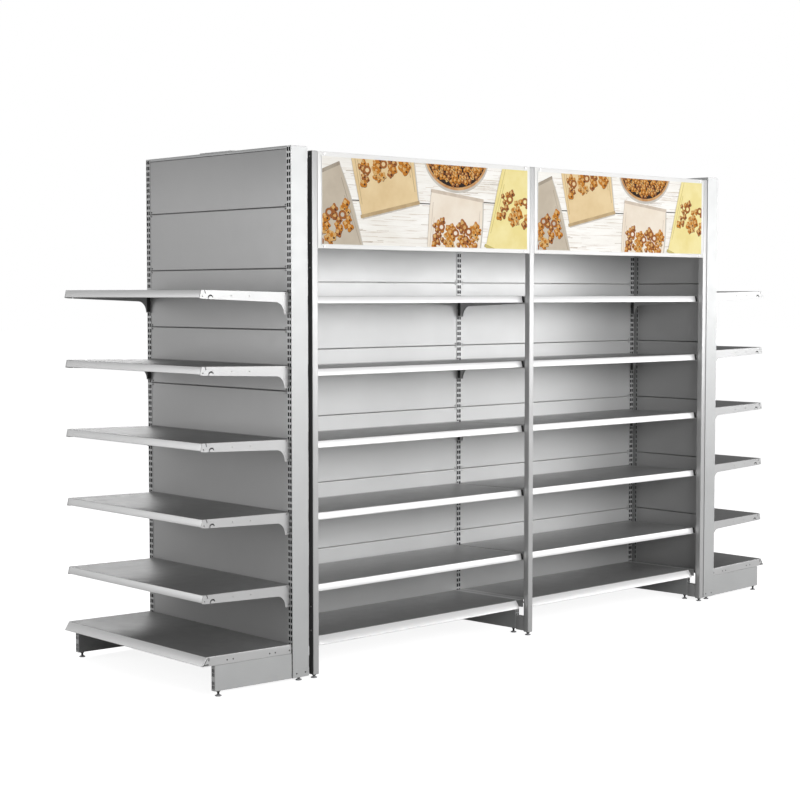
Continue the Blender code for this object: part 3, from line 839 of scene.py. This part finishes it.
def deck_mesh(width, inset, top_mat):
    """Base deck: folded tray with a leaning front and drilled side flanges."""
    t = SHEET
    half = width / 2
    front = SHELF_D - 0.006
    drop = DECK_TOP - LEG_TOP - 0.0006
    path = [(0.0022, -drop), (0.0022, -t / 2), (front - t / 2, -t / 2),
            (front + KICK - t / 2, -drop + t / 2), (front + KICK - 0.014, -drop + t / 2)]
    gap = 0.0035
    parts = []
    lo = -half + inset + gap
    shell = prism(ribbon(path, t, 0.0024, 3), lo, -lo, 'X')
    bm = bmesh.new()
    bm.from_mesh(shell)
    if inset:
        corner = 0.040
        for s in (-1, 1):
            for k in range(8):
                x = s * (-lo - corner * (1 - k / 8.0) + 0.0002)
                bmesh.ops.bisect_plane(bm, geom=bm.verts[:] + bm.edges[:] + bm.faces[:],
                                       dist=1e-6, plane_co=(x, 0, 0), plane_no=(1, 0, 0))
        for v in bm.verts:
            u = (abs(v.co.x) - (-lo - corner)) / corner
            if u > 0 and v.co.y > front - 0.05:
                bite = 0.016 * (1 - math.sqrt(max(0.0, 1 - min(u, 1.0) ** 2)))
                v.co.y -= bite * min(1.0, max(0.0, (v.co.y - front + 0.03) / 0.03))
    shell = climb(to_mesh(bm, "deck", 0))
    # painted light on the front faces, painted shade on the top and the rest of the deck
    for p in shell.polygons:
        c = p.center
        p.material_index = 1 if (c.y > front - 0.0145 and c.z - RISE * c.y < -0.0014) else 0
    parts.append(shell)
    # end parts: top strip folded down to the side flange
    for s in (-1, 1):
        x0, x1 = s * (half - inset - gap - 0.0008), s * half
        a, b = min(x0, x1), max(x0, x1)
        side = ribbon([(x0, -t / 2), (x1 - s * t / 2, -t / 2), (x1 - s * t / 2, -drop)],
                      t, 0.0022, 3)
        end = prism(side, 0.0022, front - 0.0012, 'Y', bevel=0.0)
        holes = [disc(y, -0.020 - (0.002 if y > 0.2 else 0.004), 0.0036, a - 0.01, b + 0.01,
                      'X', 14) for y in (0.330, 0.300, 0.115, 0.086, 0.012)]
        if not inset:
            # slot near the front and the slanted gap behind the front
            holes.append(block((a - 0.01, front - 0.0125, -0.017),
                               (b + 0.01, front - 0.0070, -0.004)))
            holes.append(disc(front - 0.006, -0.031, 0.0030, a - 0.01, b + 0.01, 'X', 14))
        end = combine(end, holes)
        if not inset:
            # the side flange follows the lean of the front
            bmf = bmesh.new()
            bmf.from_mesh(end)
            for v in bmf.verts:
                if v.co.y > front - 0.004:
                    v.co.y += KICK * min(1.0, -v.co.z / drop) - 0.0004
            end = to_mesh(bmf, "flange", 0)
        end = climb(end)
        for p in end.polygons:
            p.material_index = 2
        parts.append(end)
        # near-black slit in the slanted gap behind the front: painted shade
        slit = prism([(front - 0.0042, -0.0060), (front - 0.0012, -0.0060),
                     (front + KICK - 0.0036, -drop + 0.0006),
                     (front + KICK - 0.0066, -drop + 0.0006)],
                    *sorted((s * (half - 0.0002), s * (half + 0.0002))), 'X')
        slit = climb(slit)
        for p in slit.polygons:
            p.material_index = 3
        parts.append(slit)
        # near-black pads inside the side flanges, behind their holes: painted shade
        x0, x1 = sorted((s * (half - t - 0.0002), s * (half - t - 0.0008)))
        pads = [block((x0, 0.0045, -0.0330), (x1, 0.3550, -0.0030))]
        if not inset:
            pads.append(prism([(front - 0.020, -0.003), (front - 0.0030, -0.003),
                               (front + KICK - 0.0035, -drop + 0.002),
                               (front - 0.020, -drop + 0.002)], x0, x1, 'X'))
        for pad in pads:
            pad = climb(pad)
            for p in pad.polygons:
                p.material_index = 3
            parts.append(pad)
    out = bmesh.new()
    for me in parts:
        out.from_mesh(me)
    me = bpy.data.meshes.new("deck")
    out.to_mesh(me)
    out.free()
    return me, [top_mat, APRON_LIT, ARM, SHADE_BLACK]


# ----------------------------------------------------------------------- panels
def seams(lo, hi, pitch):
    k0 = math.ceil((lo + 0.03 - SEAM) / pitch)
    k1 = math.floor((hi - 0.03 - SEAM) / pitch)
    return [SEAM + k * pitch for k in range(k0, k1 + 1)]


def pan(w, z0, z1, face, out, holes=(), depth=0.011, t=0.0012):
    """Back-panel pan: sheet with its top and bottom edges folded back round a
    small bend. The face looks along +Y (out = 1) or -Y (out = -1)."""
    f = face - out * t / 2
    b = face - out * depth
    path = [(b, z0 + t / 2), (f, z0 + t / 2), (f, z1 - t / 2), (b, z1 - t / 2)]
    me = prism(ribbon(path, t, 0.0022, 3), -w, w, 'X')
    cuts = []
    for hx, hz, r in holes:
        y0, y1 = sorted((face + out * 0.01, face - out * 0.006))
        cuts.append(block((hx - r, y0, hz - r), (hx + r, y1, hz + r)))
    return combine(me, cuts)


def pan_stack(w, lo, hi, face, out, pitch, gap=0.0026, hole=None, lowest=0.0):
    """Panels one above the other with a shadow gap at each seam."""
    lines = [lo] + seams(max(lo, lowest), hi, pitch) + [hi]
    parts = []
    for a, b in zip(lines, lines[1:]):
        z0 = a + (gap / 2 if a != lo else 0)
        z1 = b - (gap / 2 if b != hi else 0)
        holes = []
        if hole:
            off, r = hole
            if a != lo:
                holes += [(s * (w - off), z0 + 0.0075, r) for s in (-1, 1)]
            if b != hi:
                holes += [(s * (w - off), z1 - 0.0075, r) for s in (-1, 1)]
        parts.append(pan(w, z0, z1, face, out, holes))
    return parts


# ------------------------------------------------------------------------ signs
def art_layer(outline, level, thick=0.00035):
    """Printed shape on the board; level is its place in the stack of inks."""
    y1 = POST_Y - 0.0015 - 0.00006 - level * 0.00004
    return prism(outline, y1 - thick, y1 + 0.0003, 'Y')


def turned_outline(points, cx, cz, angle):
    c, s = math.cos(angle), math.sin(angle)
    return [(cx + x * c - z * s, cz + x * s + z * c) for x, z in points]


def bag_outline(w, h):
    """Pillow-sided pouch with a straight sealed top and base."""
    pts = []
    n = 8
    for i in range(n + 1):
        f = i / n
        pts.append((-w / 2 - 0.010 * math.sin(math.pi * f) + 0.004 * math.sin(5 * f),
                    -h / 2 + h * f))
    for i in range(n, -1, -1):
        f = i / n
        pts.append((w / 2 + 0.010 * math.sin(math.pi * f) - 0.003 * math.sin(6 * f),
                    -h / 2 + h * f))
    return fillet(pts, 0.004, 2)


def clip(outline, x0, x1, z0, z1):
    """Clip a polygon to the printed area."""
    def side(poly, inside, cross):
        out = []
        for i, p in enumerate(poly):
            q = poly[i - 1]
            if inside(p):
                if not inside(q):
                    out.append(cross(q, p))
                out.append(p)
            elif inside(q):
                out.append(cross(q, p))
        return out

    def at_x(v):
        return lambda a, b: (v, a[1] + (b[1] - a[1]) * (v - a[0]) / (b[0] - a[0]))

    def at_z(v):
        return lambda a, b: (a[0] + (b[0] - a[0]) * (v - a[1]) / (b[1] - a[1]), v)

    for inside, cross in ((lambda p: p[0] >= x0, at_x(x0)), (lambda p: p[0] <= x1, at_x(x1)),
                          (lambda p: p[1] >= z0, at_z(z0)), (lambda p: p[1] <= z1, at_z(z1))):
        outline = side(outline, inside, cross)
        if len(outline) < 3:
            return None
    clean = []
    for p in outline:
        if not clean or (abs(p[0] - clean[-1][0]) + abs(p[1] - clean[-1][1])) > 1e-5:
            clean.append(p)
    return clean if len(clean) > 2 else None


def sign_mesh():
    """Header sign about x = 0: frame, board, corner screws and a plain printed
    scene of pouches and a bowl on limed planks, with no lettering."""
    half = (BAY - POST) / 2 - 0.0010
    y0, y1 = POST_Y + 0.0002, POST_Y + SIGN_D
    parts = []
    bx, bz0, bz1 = half - 0.0200, SIGN_LOW + 0.0170, POST_TOP - 0.0180
    outer = block((-half, y0, SIGN_LOW), (half, y1, POST_TOP), 0.0016, 3)
    pan_cut = block((-half + 0.0014, y0 + 0.0030, SIGN_LOW + 0.0014),
                    (half - 0.0014, y1 + 0.01, POST_TOP - 0.0014))
    frame_me = combine(outer, [pan_cut])
    parts.append((frame_me, RIM))
    # raised rolled edge round the board, then the board
    trim_o = block((-bx - 0.0022, POST_Y - 0.0022, bz0 - 0.0022),
                   (bx + 0.0022, POST_Y + 0.0008, bz1 + 0.0022), 0.0009, 2)
    trim = combine(trim_o, [block((-bx + 0.0008, POST_Y - 0.01, bz0 + 0.0008),
                                  (bx - 0.0008, POST_Y + 0.01, bz1 - 0.0008))])
    parts.append((trim, RIM))
    parts.append((block((-bx + 0.0006, POST_Y - 0.0015, bz0 + 0.0006),
                        (bx - 0.0006, POST_Y + 0.0006, bz1 - 0.0006), 0.0002, 1), PLANKS))
    for sx in (-1, 1):
        for z in (POST_TOP - 0.008, SIGN_LOW + 0.008):
            parts.append((screw(sx * (half - 0.034), z, y0, -1), ZINC))
            # clip that hooks the sign to the post
            parts.append((block((sx * half - 0.0035, y0 + 0.004, z - 0.012),
                                (sx * half + 0.0035, y0 + 0.014, z + 0.004), 0.0006, 1), ZINC))
    area = (-bx + 0.0012, bx - 0.0012, bz0 + 0.0012, bz1 - 0.0012)
    mid = (bz0 + bz1) / 2

    def ink(outline, level, key):
        shape = clip(outline, *area)
        if shape:
            parts.append((art_layer(shape, level), PAPER[key]))

    def rect(w, h, cx=0.0, cz=0.0):
        return [(cx - w / 2, cz - h / 2), (cx + w / 2, cz - h / 2),
                (cx + w / 2, cz + h / 2), (cx - w / 2, cz + h / 2)]

    def blob(x, z, size, key, level, pick):
        """One snack piece: a lobed shape with a lighter and a darker fleck."""
        lobes, bump, ph = pick.choice((3, 4, 5)), pick.uniform(0.10, 0.24), pick.uniform(0, 6)

        def ring(r, dx, dz):
            return [(x + dx + r * math.cos(q) * (1 + bump * math.cos(lobes * q + ph)),
                     z + dz + r * math.sin(q) * (1 + bump * math.cos(lobes * q + ph)))
                    for q in [2 * math.pi * m / 20 for m in range(20)]]
        ink(ring(size, 0.0012, -0.0018), level, "bit_b")
        ink(ring(size, 0, 0), level + 0.12, key)
        ink(ring(size * 0.46, -size * 0.26, size * 0.28), level + 0.24,
            "bit_d" if key != "bit_d" else "bit_c")
        ink(ring(size * 0.26, size * 0.36, -size * 0.30), level + 0.24, "bit_b")

    def pouch(w, h, cx, cz, angle, key, level, band, count, seed):
        """Plain pillow pouch: body, sealed ends, side folds and a spill of
        snack pieces and rings printed over the band of it given."""
        ink(turned_outline(bag_outline(w * 1.02, h * 1.01), cx + 0.004, cz - 0.005, angle),
            level, "shade")
        ink(turned_outline(bag_outline(w, h), cx, cz, angle), level + 1, key)
        for sgn in (-1, 1):        # sealed ends and side folds
            ink(turned_outline(fillet(rect(w * 1.05, 0.015, 0, sgn * (h / 2 - 0.006)),
                                      0.002, 2), cx, cz, angle), level + 2, key + "_dk")
            for f, g in ((0.47, 0.70), (0.43, 0.34)):
                ink(turned_outline(fillet(rect(0.0030, h * g, sgn * w * f, 0), 0.001, 1),
                                   cx, cz, angle), level + 2, key + "_dk")
        pick = random.Random(seed)
        for j in range(count):
            x = ((j * 0.7549 + 0.31) % 1.0 - 0.5) * w * 0.94
            z = band[0] + (band[1] - band[0]) * ((j * 0.5698 + 0.17) % 1.0)
            px, pz = turned_outline([(x, z)], cx, cz, angle)[0]
            blob(px, pz, pick.uniform(0.011, 0.0205),
                 ("bit_c", "bit_a", "bit_c", "bit_a", "bit_d", "bit_c")[j % 6],
                 level + 2.4 + j * 0.06, pick)
        for j in range(3):         # snack rings lying among the pieces
            x = (j - 1) * w * 0.29 + pick.uniform(-0.01, 0.01)
            z = band[0] + (band[1] - band[0]) * pick.uniform(0.5, 0.95)
            px, pz = turned_outline([(x, z)], cx, cz, angle)[0]
            lo, hi = level + 2.4 + count * 0.06 + j * 0.3, "bit_a"
            for r, tone in ((0.0215, "bit_b"), (0.0205, hi), (0.0105, key)):
                lo += 0.1
                ink([(px + r * math.cos(q), pz + 0.86 * r * math.sin(q)) for q in
                     [2 * math.pi * m / 28 for m in range(28)]], lo, tone)

    # long grain streaks and two open joints of the planks
    pick = random.Random(21)
    for j in range(150):
        x, z = pick.uniform(-half, half), pick.uniform(bz0, bz1)
        ink(fillet(rect(pick.uniform(0.03, 0.13), pick.uniform(0.0007, 0.0019), x, z),
                   0.0003, 1), 0.004 * j, "grain" if j % 3 else "grain_dk")
    for x0, x1, z in ((-0.62, 0.02, mid + 0.006), (0.14, 0.62, mid + 0.024)):
        ink(rect(x1 - x0, 0.0042, (x0 + x1) / 2, z), 0.7, "joint")
    # bowl seen from above, cut by the top edge
    cx, cz, r = -bx + 0.63 * 2 * bx, bz1 + 0.046, 0.196
    for k, (d, key) in enumerate(((-0.006, "shade"), (0.0, "rim"), (0.012, "inside"))):
        ink([(cx + (r - d) * math.cos(a), cz - (0.006 if k == 0 else 0.0)
              + (0.79 * r - d) * math.sin(a)) for a in
             [2 * math.pi * m / 72 for m in range(72)]], 1 + k, key)
    rng = random.Random(5)
    n = 0
    for row in range(8):
        for col in range(-8, 9):
            x = cx + col * 0.0240 + (0.012 if row % 2 else 0.0) + rng.uniform(-0.004, 0.004)
            z = cz - 0.030 - row * 0.0170 + rng.uniform(-0.004, 0.004)
            if ((x - cx) / (r - 0.021)) ** 2 + ((z - cz) / (0.79 * r - 0.021)) ** 2 > 1:
                continue
            blob(x, z, rng.uniform(0.0085, 0.0135),
                 ("bit_a", "bit_c", "bit_d", "bit_a", "bit_c")[rng.randrange(5)],
                 3.2 + n * 0.03, rng)
            n += 1
    # pouches
    pouch(0.255, 0.420, -bx + 0.045, bz1 - 0.262, math.radians(21), "taupe", 7,
          (-0.080, 0.040), 30, 3)
    pouch(0.330, 0.360, -bx + 0.345, bz1 - 0.036, math.radians(12), "tan", 15,
          (-0.042, 0.058), 32, 4)
    pouch(0.310, 0.360, -bx + 0.62 * 2 * bx, bz1 - 0.306, math.radians(-6), "cream", 23,
          (-0.058, 0.056), 40, 8)
    pouch(0.350, 0.460, bx - 0.035, bz1 - 0.190, math.radians(-18), "gold", 31,
          (-0.072, 0.058), 34, 6)
    return merge(parts)


# ------------------------------------------------------------------------ posts
def post_mesh():
    """Header post about x = 0 on the -Y side, with its stub and foot."""
    y0, y1 = POST_Y, POST_Y + POST
    leg_front = -(CORE_D / 2 + LEG_OUT)
    tube = block((-POST / 2, y0, FOOT_LIFT), (POST / 2, y1, POST_TOP), 0.0026, 3)
    bore = block((-POST / 2 + WALL, y0 + WALL, FOOT_LIFT + WALL),
                 (POST / 2 - WALL, y1 - WALL, POST_TOP - 0.003))
    cuts = [bore]
    for z in (2.153, 1.800, 1.700, 0.300, 0.200):
        cuts.append(disc(y0 + POST / 2, z, 0.0034, -0.03, 0.03, 'X', 16))
    tube = combine(tube, cuts)
    stub = block((-LEG_W / 2, y1 - 0.0004, FOOT_LIFT + 0.004),
                 (LEG_W / 2, leg_front - 0.0008, 0.085), 0.0010, 2)
    parts = [(tube, MAST), (stub, MAST)]
    parts.append((block((-POST / 2 + 0.0012, y0 + 0.0012, POST_TOP - 0.0016),
                        (POST / 2 - 0.0012, y1 - 0.0012, POST_TOP + 0.0010), 0.0010, 2), MAST))
    parts += levelling_foot(0.0, y0 + POST / 2, FOOT_LIFT)
    return merge(parts)


# --------------------------------------------------------------------- assembly
QUARTER = math.pi / 2

for name, x in (("frame_left", -BAY), ("frame_middle", 0.0), ("frame_right", BAY)):
    show(name + "_steelwork", core_upright(x), "root", (name,))

end_steel = end_upright()
for side, turn, s in (("left", QUARTER, -1), ("right", -QUARTER, 1)):
    for label, sy in (("front", -1), ("rear", 1)):
        me = place(end_steel, s * HALF_RUN, sy * (HALF_END - UP_W / 2), 0.0, turn)
        show(f"end_frame_{side}_{label}_steelwork", me, "root",
             (f"end_frame_{side}_{label}",))

# header posts and signs
post = post_mesh()
header = sign_mesh()
for side, turn in (("front", 0.0), ("rear", math.pi)):
    for label, x in (("left", -BAY), ("middle", 0.0), ("right", BAY)):
        me = place(post, x, 0, 0, turn)
        if x:                      # the side that faces the narrow gap gets a near-black finish: painted shade of the gap
            me.materials.append(GAP_SHADE)
            for p in me.polygons:
                if p.normal.x * x > 0.9 * BAY and abs(p.center.x - x) > POST / 2 - 0.0004:
                    p.material_index = len(me.materials) - 1
        show(f"post_{side}_{label}_tube", me, "root",
             (f"post_{side}_{label}",))
    for label, x in (("1", -BAY / 2), ("2", BAY / 2)):
        show(f"sign_{side}_{label}_board", place(header, x, 0, 0, turn), "root",
             (f"sign_{side}_{label}",), angle=28.0)

# shelves and decks
run_shelf, run_mats = shelf_mesh(BAY - 2 * (COLUMN - PLATE / 2), 0.046, 0.018, TRAY_SHADE_SCUFFED)
cap_shelf, cap_mats = shelf_mesh(2 * (HALF_END - UP_W / 2 + PLATE / 2 - COLUMN), 0.012,
                                 0.0015, TRAY_SHADE_SCUFFED_CAP)
run_deck, run_deck_mats = deck_mesh(BAY - 0.002, 0.030, TRAY_SHADE_SCUFFED)
cap_deck, cap_deck_mats = deck_mesh(2 * (HALF_END - UP_W / 2) + 0.016, 0.0, TRAY_SHADE_SCUFFED_CAP)
h = CORE_D / 2
for side, turn, s in (("front", math.pi, -1), ("rear", 0.0, 1)):
    for bay, x in (("1", -BAY / 2), ("2", BAY / 2)):
        for k in range(LEVELS):
            node = f"shelf_{side}_{bay}_{LEVELS - k}"
            show(node + "_tray", place(run_shelf, x, s * h, RUN_LEVEL - k * PITCH, turn),
                 node, (node,), mats=run_mats)
        node = f"deck_{side}_{bay}"
        show(node + "_tray", place(run_deck, x, s * h, DECK_TOP, turn), node,
             (node,), mats=run_deck_mats)
for side, turn, s in (("left", QUARTER, -1), ("right", -QUARTER, 1)):
    for k in range(LEVELS):
        node = f"shelf_{side}_{LEVELS - k}"
        show(node + "_tray", place(cap_shelf, s * HALF_RUN, 0, END_LEVEL - k * PITCH, turn),
             node, (node,), mats=cap_mats)
    node = f"deck_{side}"
    show(node + "_tray", place(cap_deck, s * HALF_RUN, 0, DECK_TOP, turn), node,
         (node,), mats=cap_deck_mats)

# panels of the centre run
w = (BAY - UP_W) / 2 - 0.0005
core_parts = []
for out in (-1, 1):
    core_parts += pan_stack(w, 0.146, CORE_TOP - 0.001, out * (h - 0.002), out, PITCH,
                            gap=0.0017, hole=(0.009, 0.0028))
core_stack = merge([(m, PANEL) for m in core_parts])
for label, x in (("1", -BAY / 2), ("2", BAY / 2)):
    show(f"back_panel_{label}_stack", place(core_stack, x), "root",
         (f"back_panel_{label}",))

# end-cap panels, built looking along +Y
w = HALF_END - UP_W - 0.0005
skin = [(m, WALLS) for m in pan_stack(w, 0.146, END_TOP - 0.0125, -0.002, 1, 10 * SLOT,
                                      gap=0.0022, hole=(0.008, 0.0034), lowest=SEAM - 0.80)]
rail = prism(ribbon([(-0.0010, END_TOP - 0.0115), (-0.0010, END_TOP - 0.0007),
                     (-END_D + 0.0010, END_TOP - 0.0007),
                     (-END_D + 0.0010, END_TOP - 0.0115)], 0.0014, 0.0022, 3), -w, w, 'X')
skin.append((rail, STEEL))
tie = combine(block((-0.112, -0.150, END_TOP + 0.0002), (0.112, -0.0040, END_TOP + 0.0036),
                    0.0008, 2),
              [disc(x, y, 0.0045, END_TOP - 0.01, END_TOP + 0.02, 'Z', 18)
               for x in (-0.060, 0.0, 0.060) for y in (-0.115,)])
skin.append((tie, STEEL))
for x in (-0.085, 0.085):
    for y in (-0.022, -0.060):
        skin.append((screw(x, y, END_TOP + 0.0036, 1, 'Z', 0.0062), ZINC))
skin = merge(skin)

wall_face = -END_D + 0.002
wall = [(m, WALLS) for m in pan_stack(w, 0.146, END_TOP - 0.0125, wall_face, -1, PITCH,
                                      hole=(0.009, 0.0028))]
# centre stile: channel with two columns of slots
a, b = -0.0037, 0.0037
centres = slot_lines(END_TOP - 0.014, 0.16)
zs = sorted({0.148, END_TOP - 0.0135} | {c + q * 0.008 for c in centres for q in (-1, 1)})


def stile_solid(x, y, z):
    for off in (-0.0555, 0.0555):
        if a < x - off < b:
            k = round((SLOT_Z - z) / SLOT)
            c = SLOT_Z - k * SLOT
            if abs(z - c) < 0.008 and centres[-1] - 0.001 < c < centres[0] + 0.001:
                return False
    return True


cols = sorted({-0.0625, 0.0625} | {o + v for o in (-0.0555, 0.0555) for v in (a, b)})
bm = cells(cols, [-END_D + 0.0001, -END_D + 0.0013], zs, stile_solid)
wall.append((to_mesh(bm, "stile", 0), STEEL))
# near-black strips behind the stile's slot columns: painted shade
for off in (-0.0555, 0.0555):
    wall.append((block((off - 0.0045, -END_D + 0.0014, 0.17),
                       (off + 0.0045, -END_D + 0.0019, END_TOP - 0.02)), SHADE_BLACK))
wall = merge(wall)
for side, turn, s in (("left", QUARTER, -1), ("right", -QUARTER, 1)):
    show(f"end_panel_{side}_stack", place(skin, s * HALF_RUN, 0, 0, turn), "root",
         (f"end_panel_{side}",))
    show(f"side_panel_{side}_stack", place(wall, s * HALF_RUN, 0, 0, turn), "root",
         (f"side_panel_{side}",))

# top rail over the centre uprights: inverted channel with screws
lo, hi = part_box("top_rail")
rail = prism(ribbon([(lo.y + 0.0007, lo.z), (lo.y + 0.0007, hi.z - 0.0007),
                     (hi.y - 0.0007, hi.z - 0.0007), (hi.y - 0.0007, lo.z)],
                    0.0014, 0.0022, 3), lo.x, hi.x, 'X')
rail_parts = [(rail, STEEL)]
for x in (-BAY, 0.0, BAY):
    for y in (-0.026, 0.026):
        rail_parts.append((screw(x, y, hi.z, 1, 'Z', 0.0062), ZINC))
show("top_rail_channel", merge(rail_parts), "root", ("top_rail",))

# ------------------------------------------------------------------------ stage
floor_mat, nodes, links, bsdf = new_material("studio_floor")
bsdf.inputs["Roughness"].default_value = 0.9
coord = nodes.new("ShaderNodeTexCoord").outputs["Object"]
links.new(blend_colour(nodes, links, noise(nodes, links, coord, 0.7, 2.0),
                       (0.49, 0.49, 0.49), (0.51, 0.51, 0.51)), bsdf.inputs["Base Color"])
bsdf.inputs["Emission Color"].default_value = (1, 1, 1, 1)
seen = nodes.new("ShaderNodeLightPath")
glow = nodes.new("ShaderNodeMath")
glow.operation = 'MULTIPLY'
glow.inputs[1].default_value = 0.88
links.new(seen.outputs["Is Camera Ray"], glow.inputs[0])
links.new(glow.outputs[0], bsdf.inputs["Emission Strength"])
fm = bpy.data.meshes.new("studio_floor")
bm = bmesh.new()
bmesh.ops.create_grid(bm, x_segments=2, y_segments=2, size=60.0)
bm.to_mesh(fm)
bm.free()
fm.materials.append(floor_mat)
floor = bpy.data.objects.new("studio_floor", fm)
bpy.context.scene.collection.objects.link(floor)

world = bpy.data.worlds.new("studio")
bpy.context.scene.world = world
world.use_nodes = True
wn, wl = world.node_tree.nodes, world.node_tree.links
back = wn["Background"]
back.inputs["Color"].default_value = (1.0, 1.0, 1.0, 1.0)
back.inputs["Strength"].default_value = 0.28
bright = wn.new("ShaderNodeBackground")
bright.inputs["Color"].default_value = (1.0, 1.0, 1.0, 1.0)
bright.inputs["Strength"].default_value = 1.0
path = wn.new("ShaderNodeLightPath")
mix = wn.new("ShaderNodeMixShader")
wl.new(path.outputs["Is Camera Ray"], mix.inputs[0])
wl.new(back.outputs[0], mix.inputs[1])
wl.new(bright.outputs[0], mix.inputs[2])
wl.new(mix.outputs[0], wn["World Output"].inputs["Surface"])


def softbox(name, spot, aim, size, power, size_y=None):
    light = bpy.data.lights.new(name, 'AREA')
    light.shape = 'RECTANGLE'
    light.size = size
    light.size_y = size_y or size
    light.energy = power
    obj = bpy.data.objects.new(name, light)
    obj.location = spot
    obj.rotation_euler = (Vector(aim) - Vector(spot)).to_track_quat('-Z', 'Y').to_euler()
    bpy.context.scene.collection.objects.link(obj)
    obj.visible_camera = False
    return obj


softbox("key", (-0.4, -5.6, 2.25), (0.0, 0.0, 1.75), 4.6, 165.0, 1.8)
softbox("right_front", (4.9, -5.2, 2.0), (0.2, 0.0, 1.7), 5.0, 150.0, 1.9)
softbox("fill_left", (-5.8, 2.6, 1.7), (-1.4, 0.0, 1.1), 3.4, 75.0, 2.2)
softbox("back_light", (0.5, 5.2, 3.0), (0.0, 0.0, 1.5), 4.6, 110.0, 1.6)

# ----------------------------------------------------------------------- camera
cam_data = bpy.data.cameras.new("camera")
cam_data.sensor_width = 36.0
cam_data.lens = 76.178
cam = bpy.data.objects.new("camera", cam_data)
cam.location = (-5.766557, -5.855865, 1.587587)
cam.rotation_euler = (math.pi / 2 - 0.061872, 0.0, -0.746857)
bpy.context.scene.collection.objects.link(cam)
bpy.context.scene.camera = cam
bpy.context.scene.view_settings.view_transform = 'Standard'
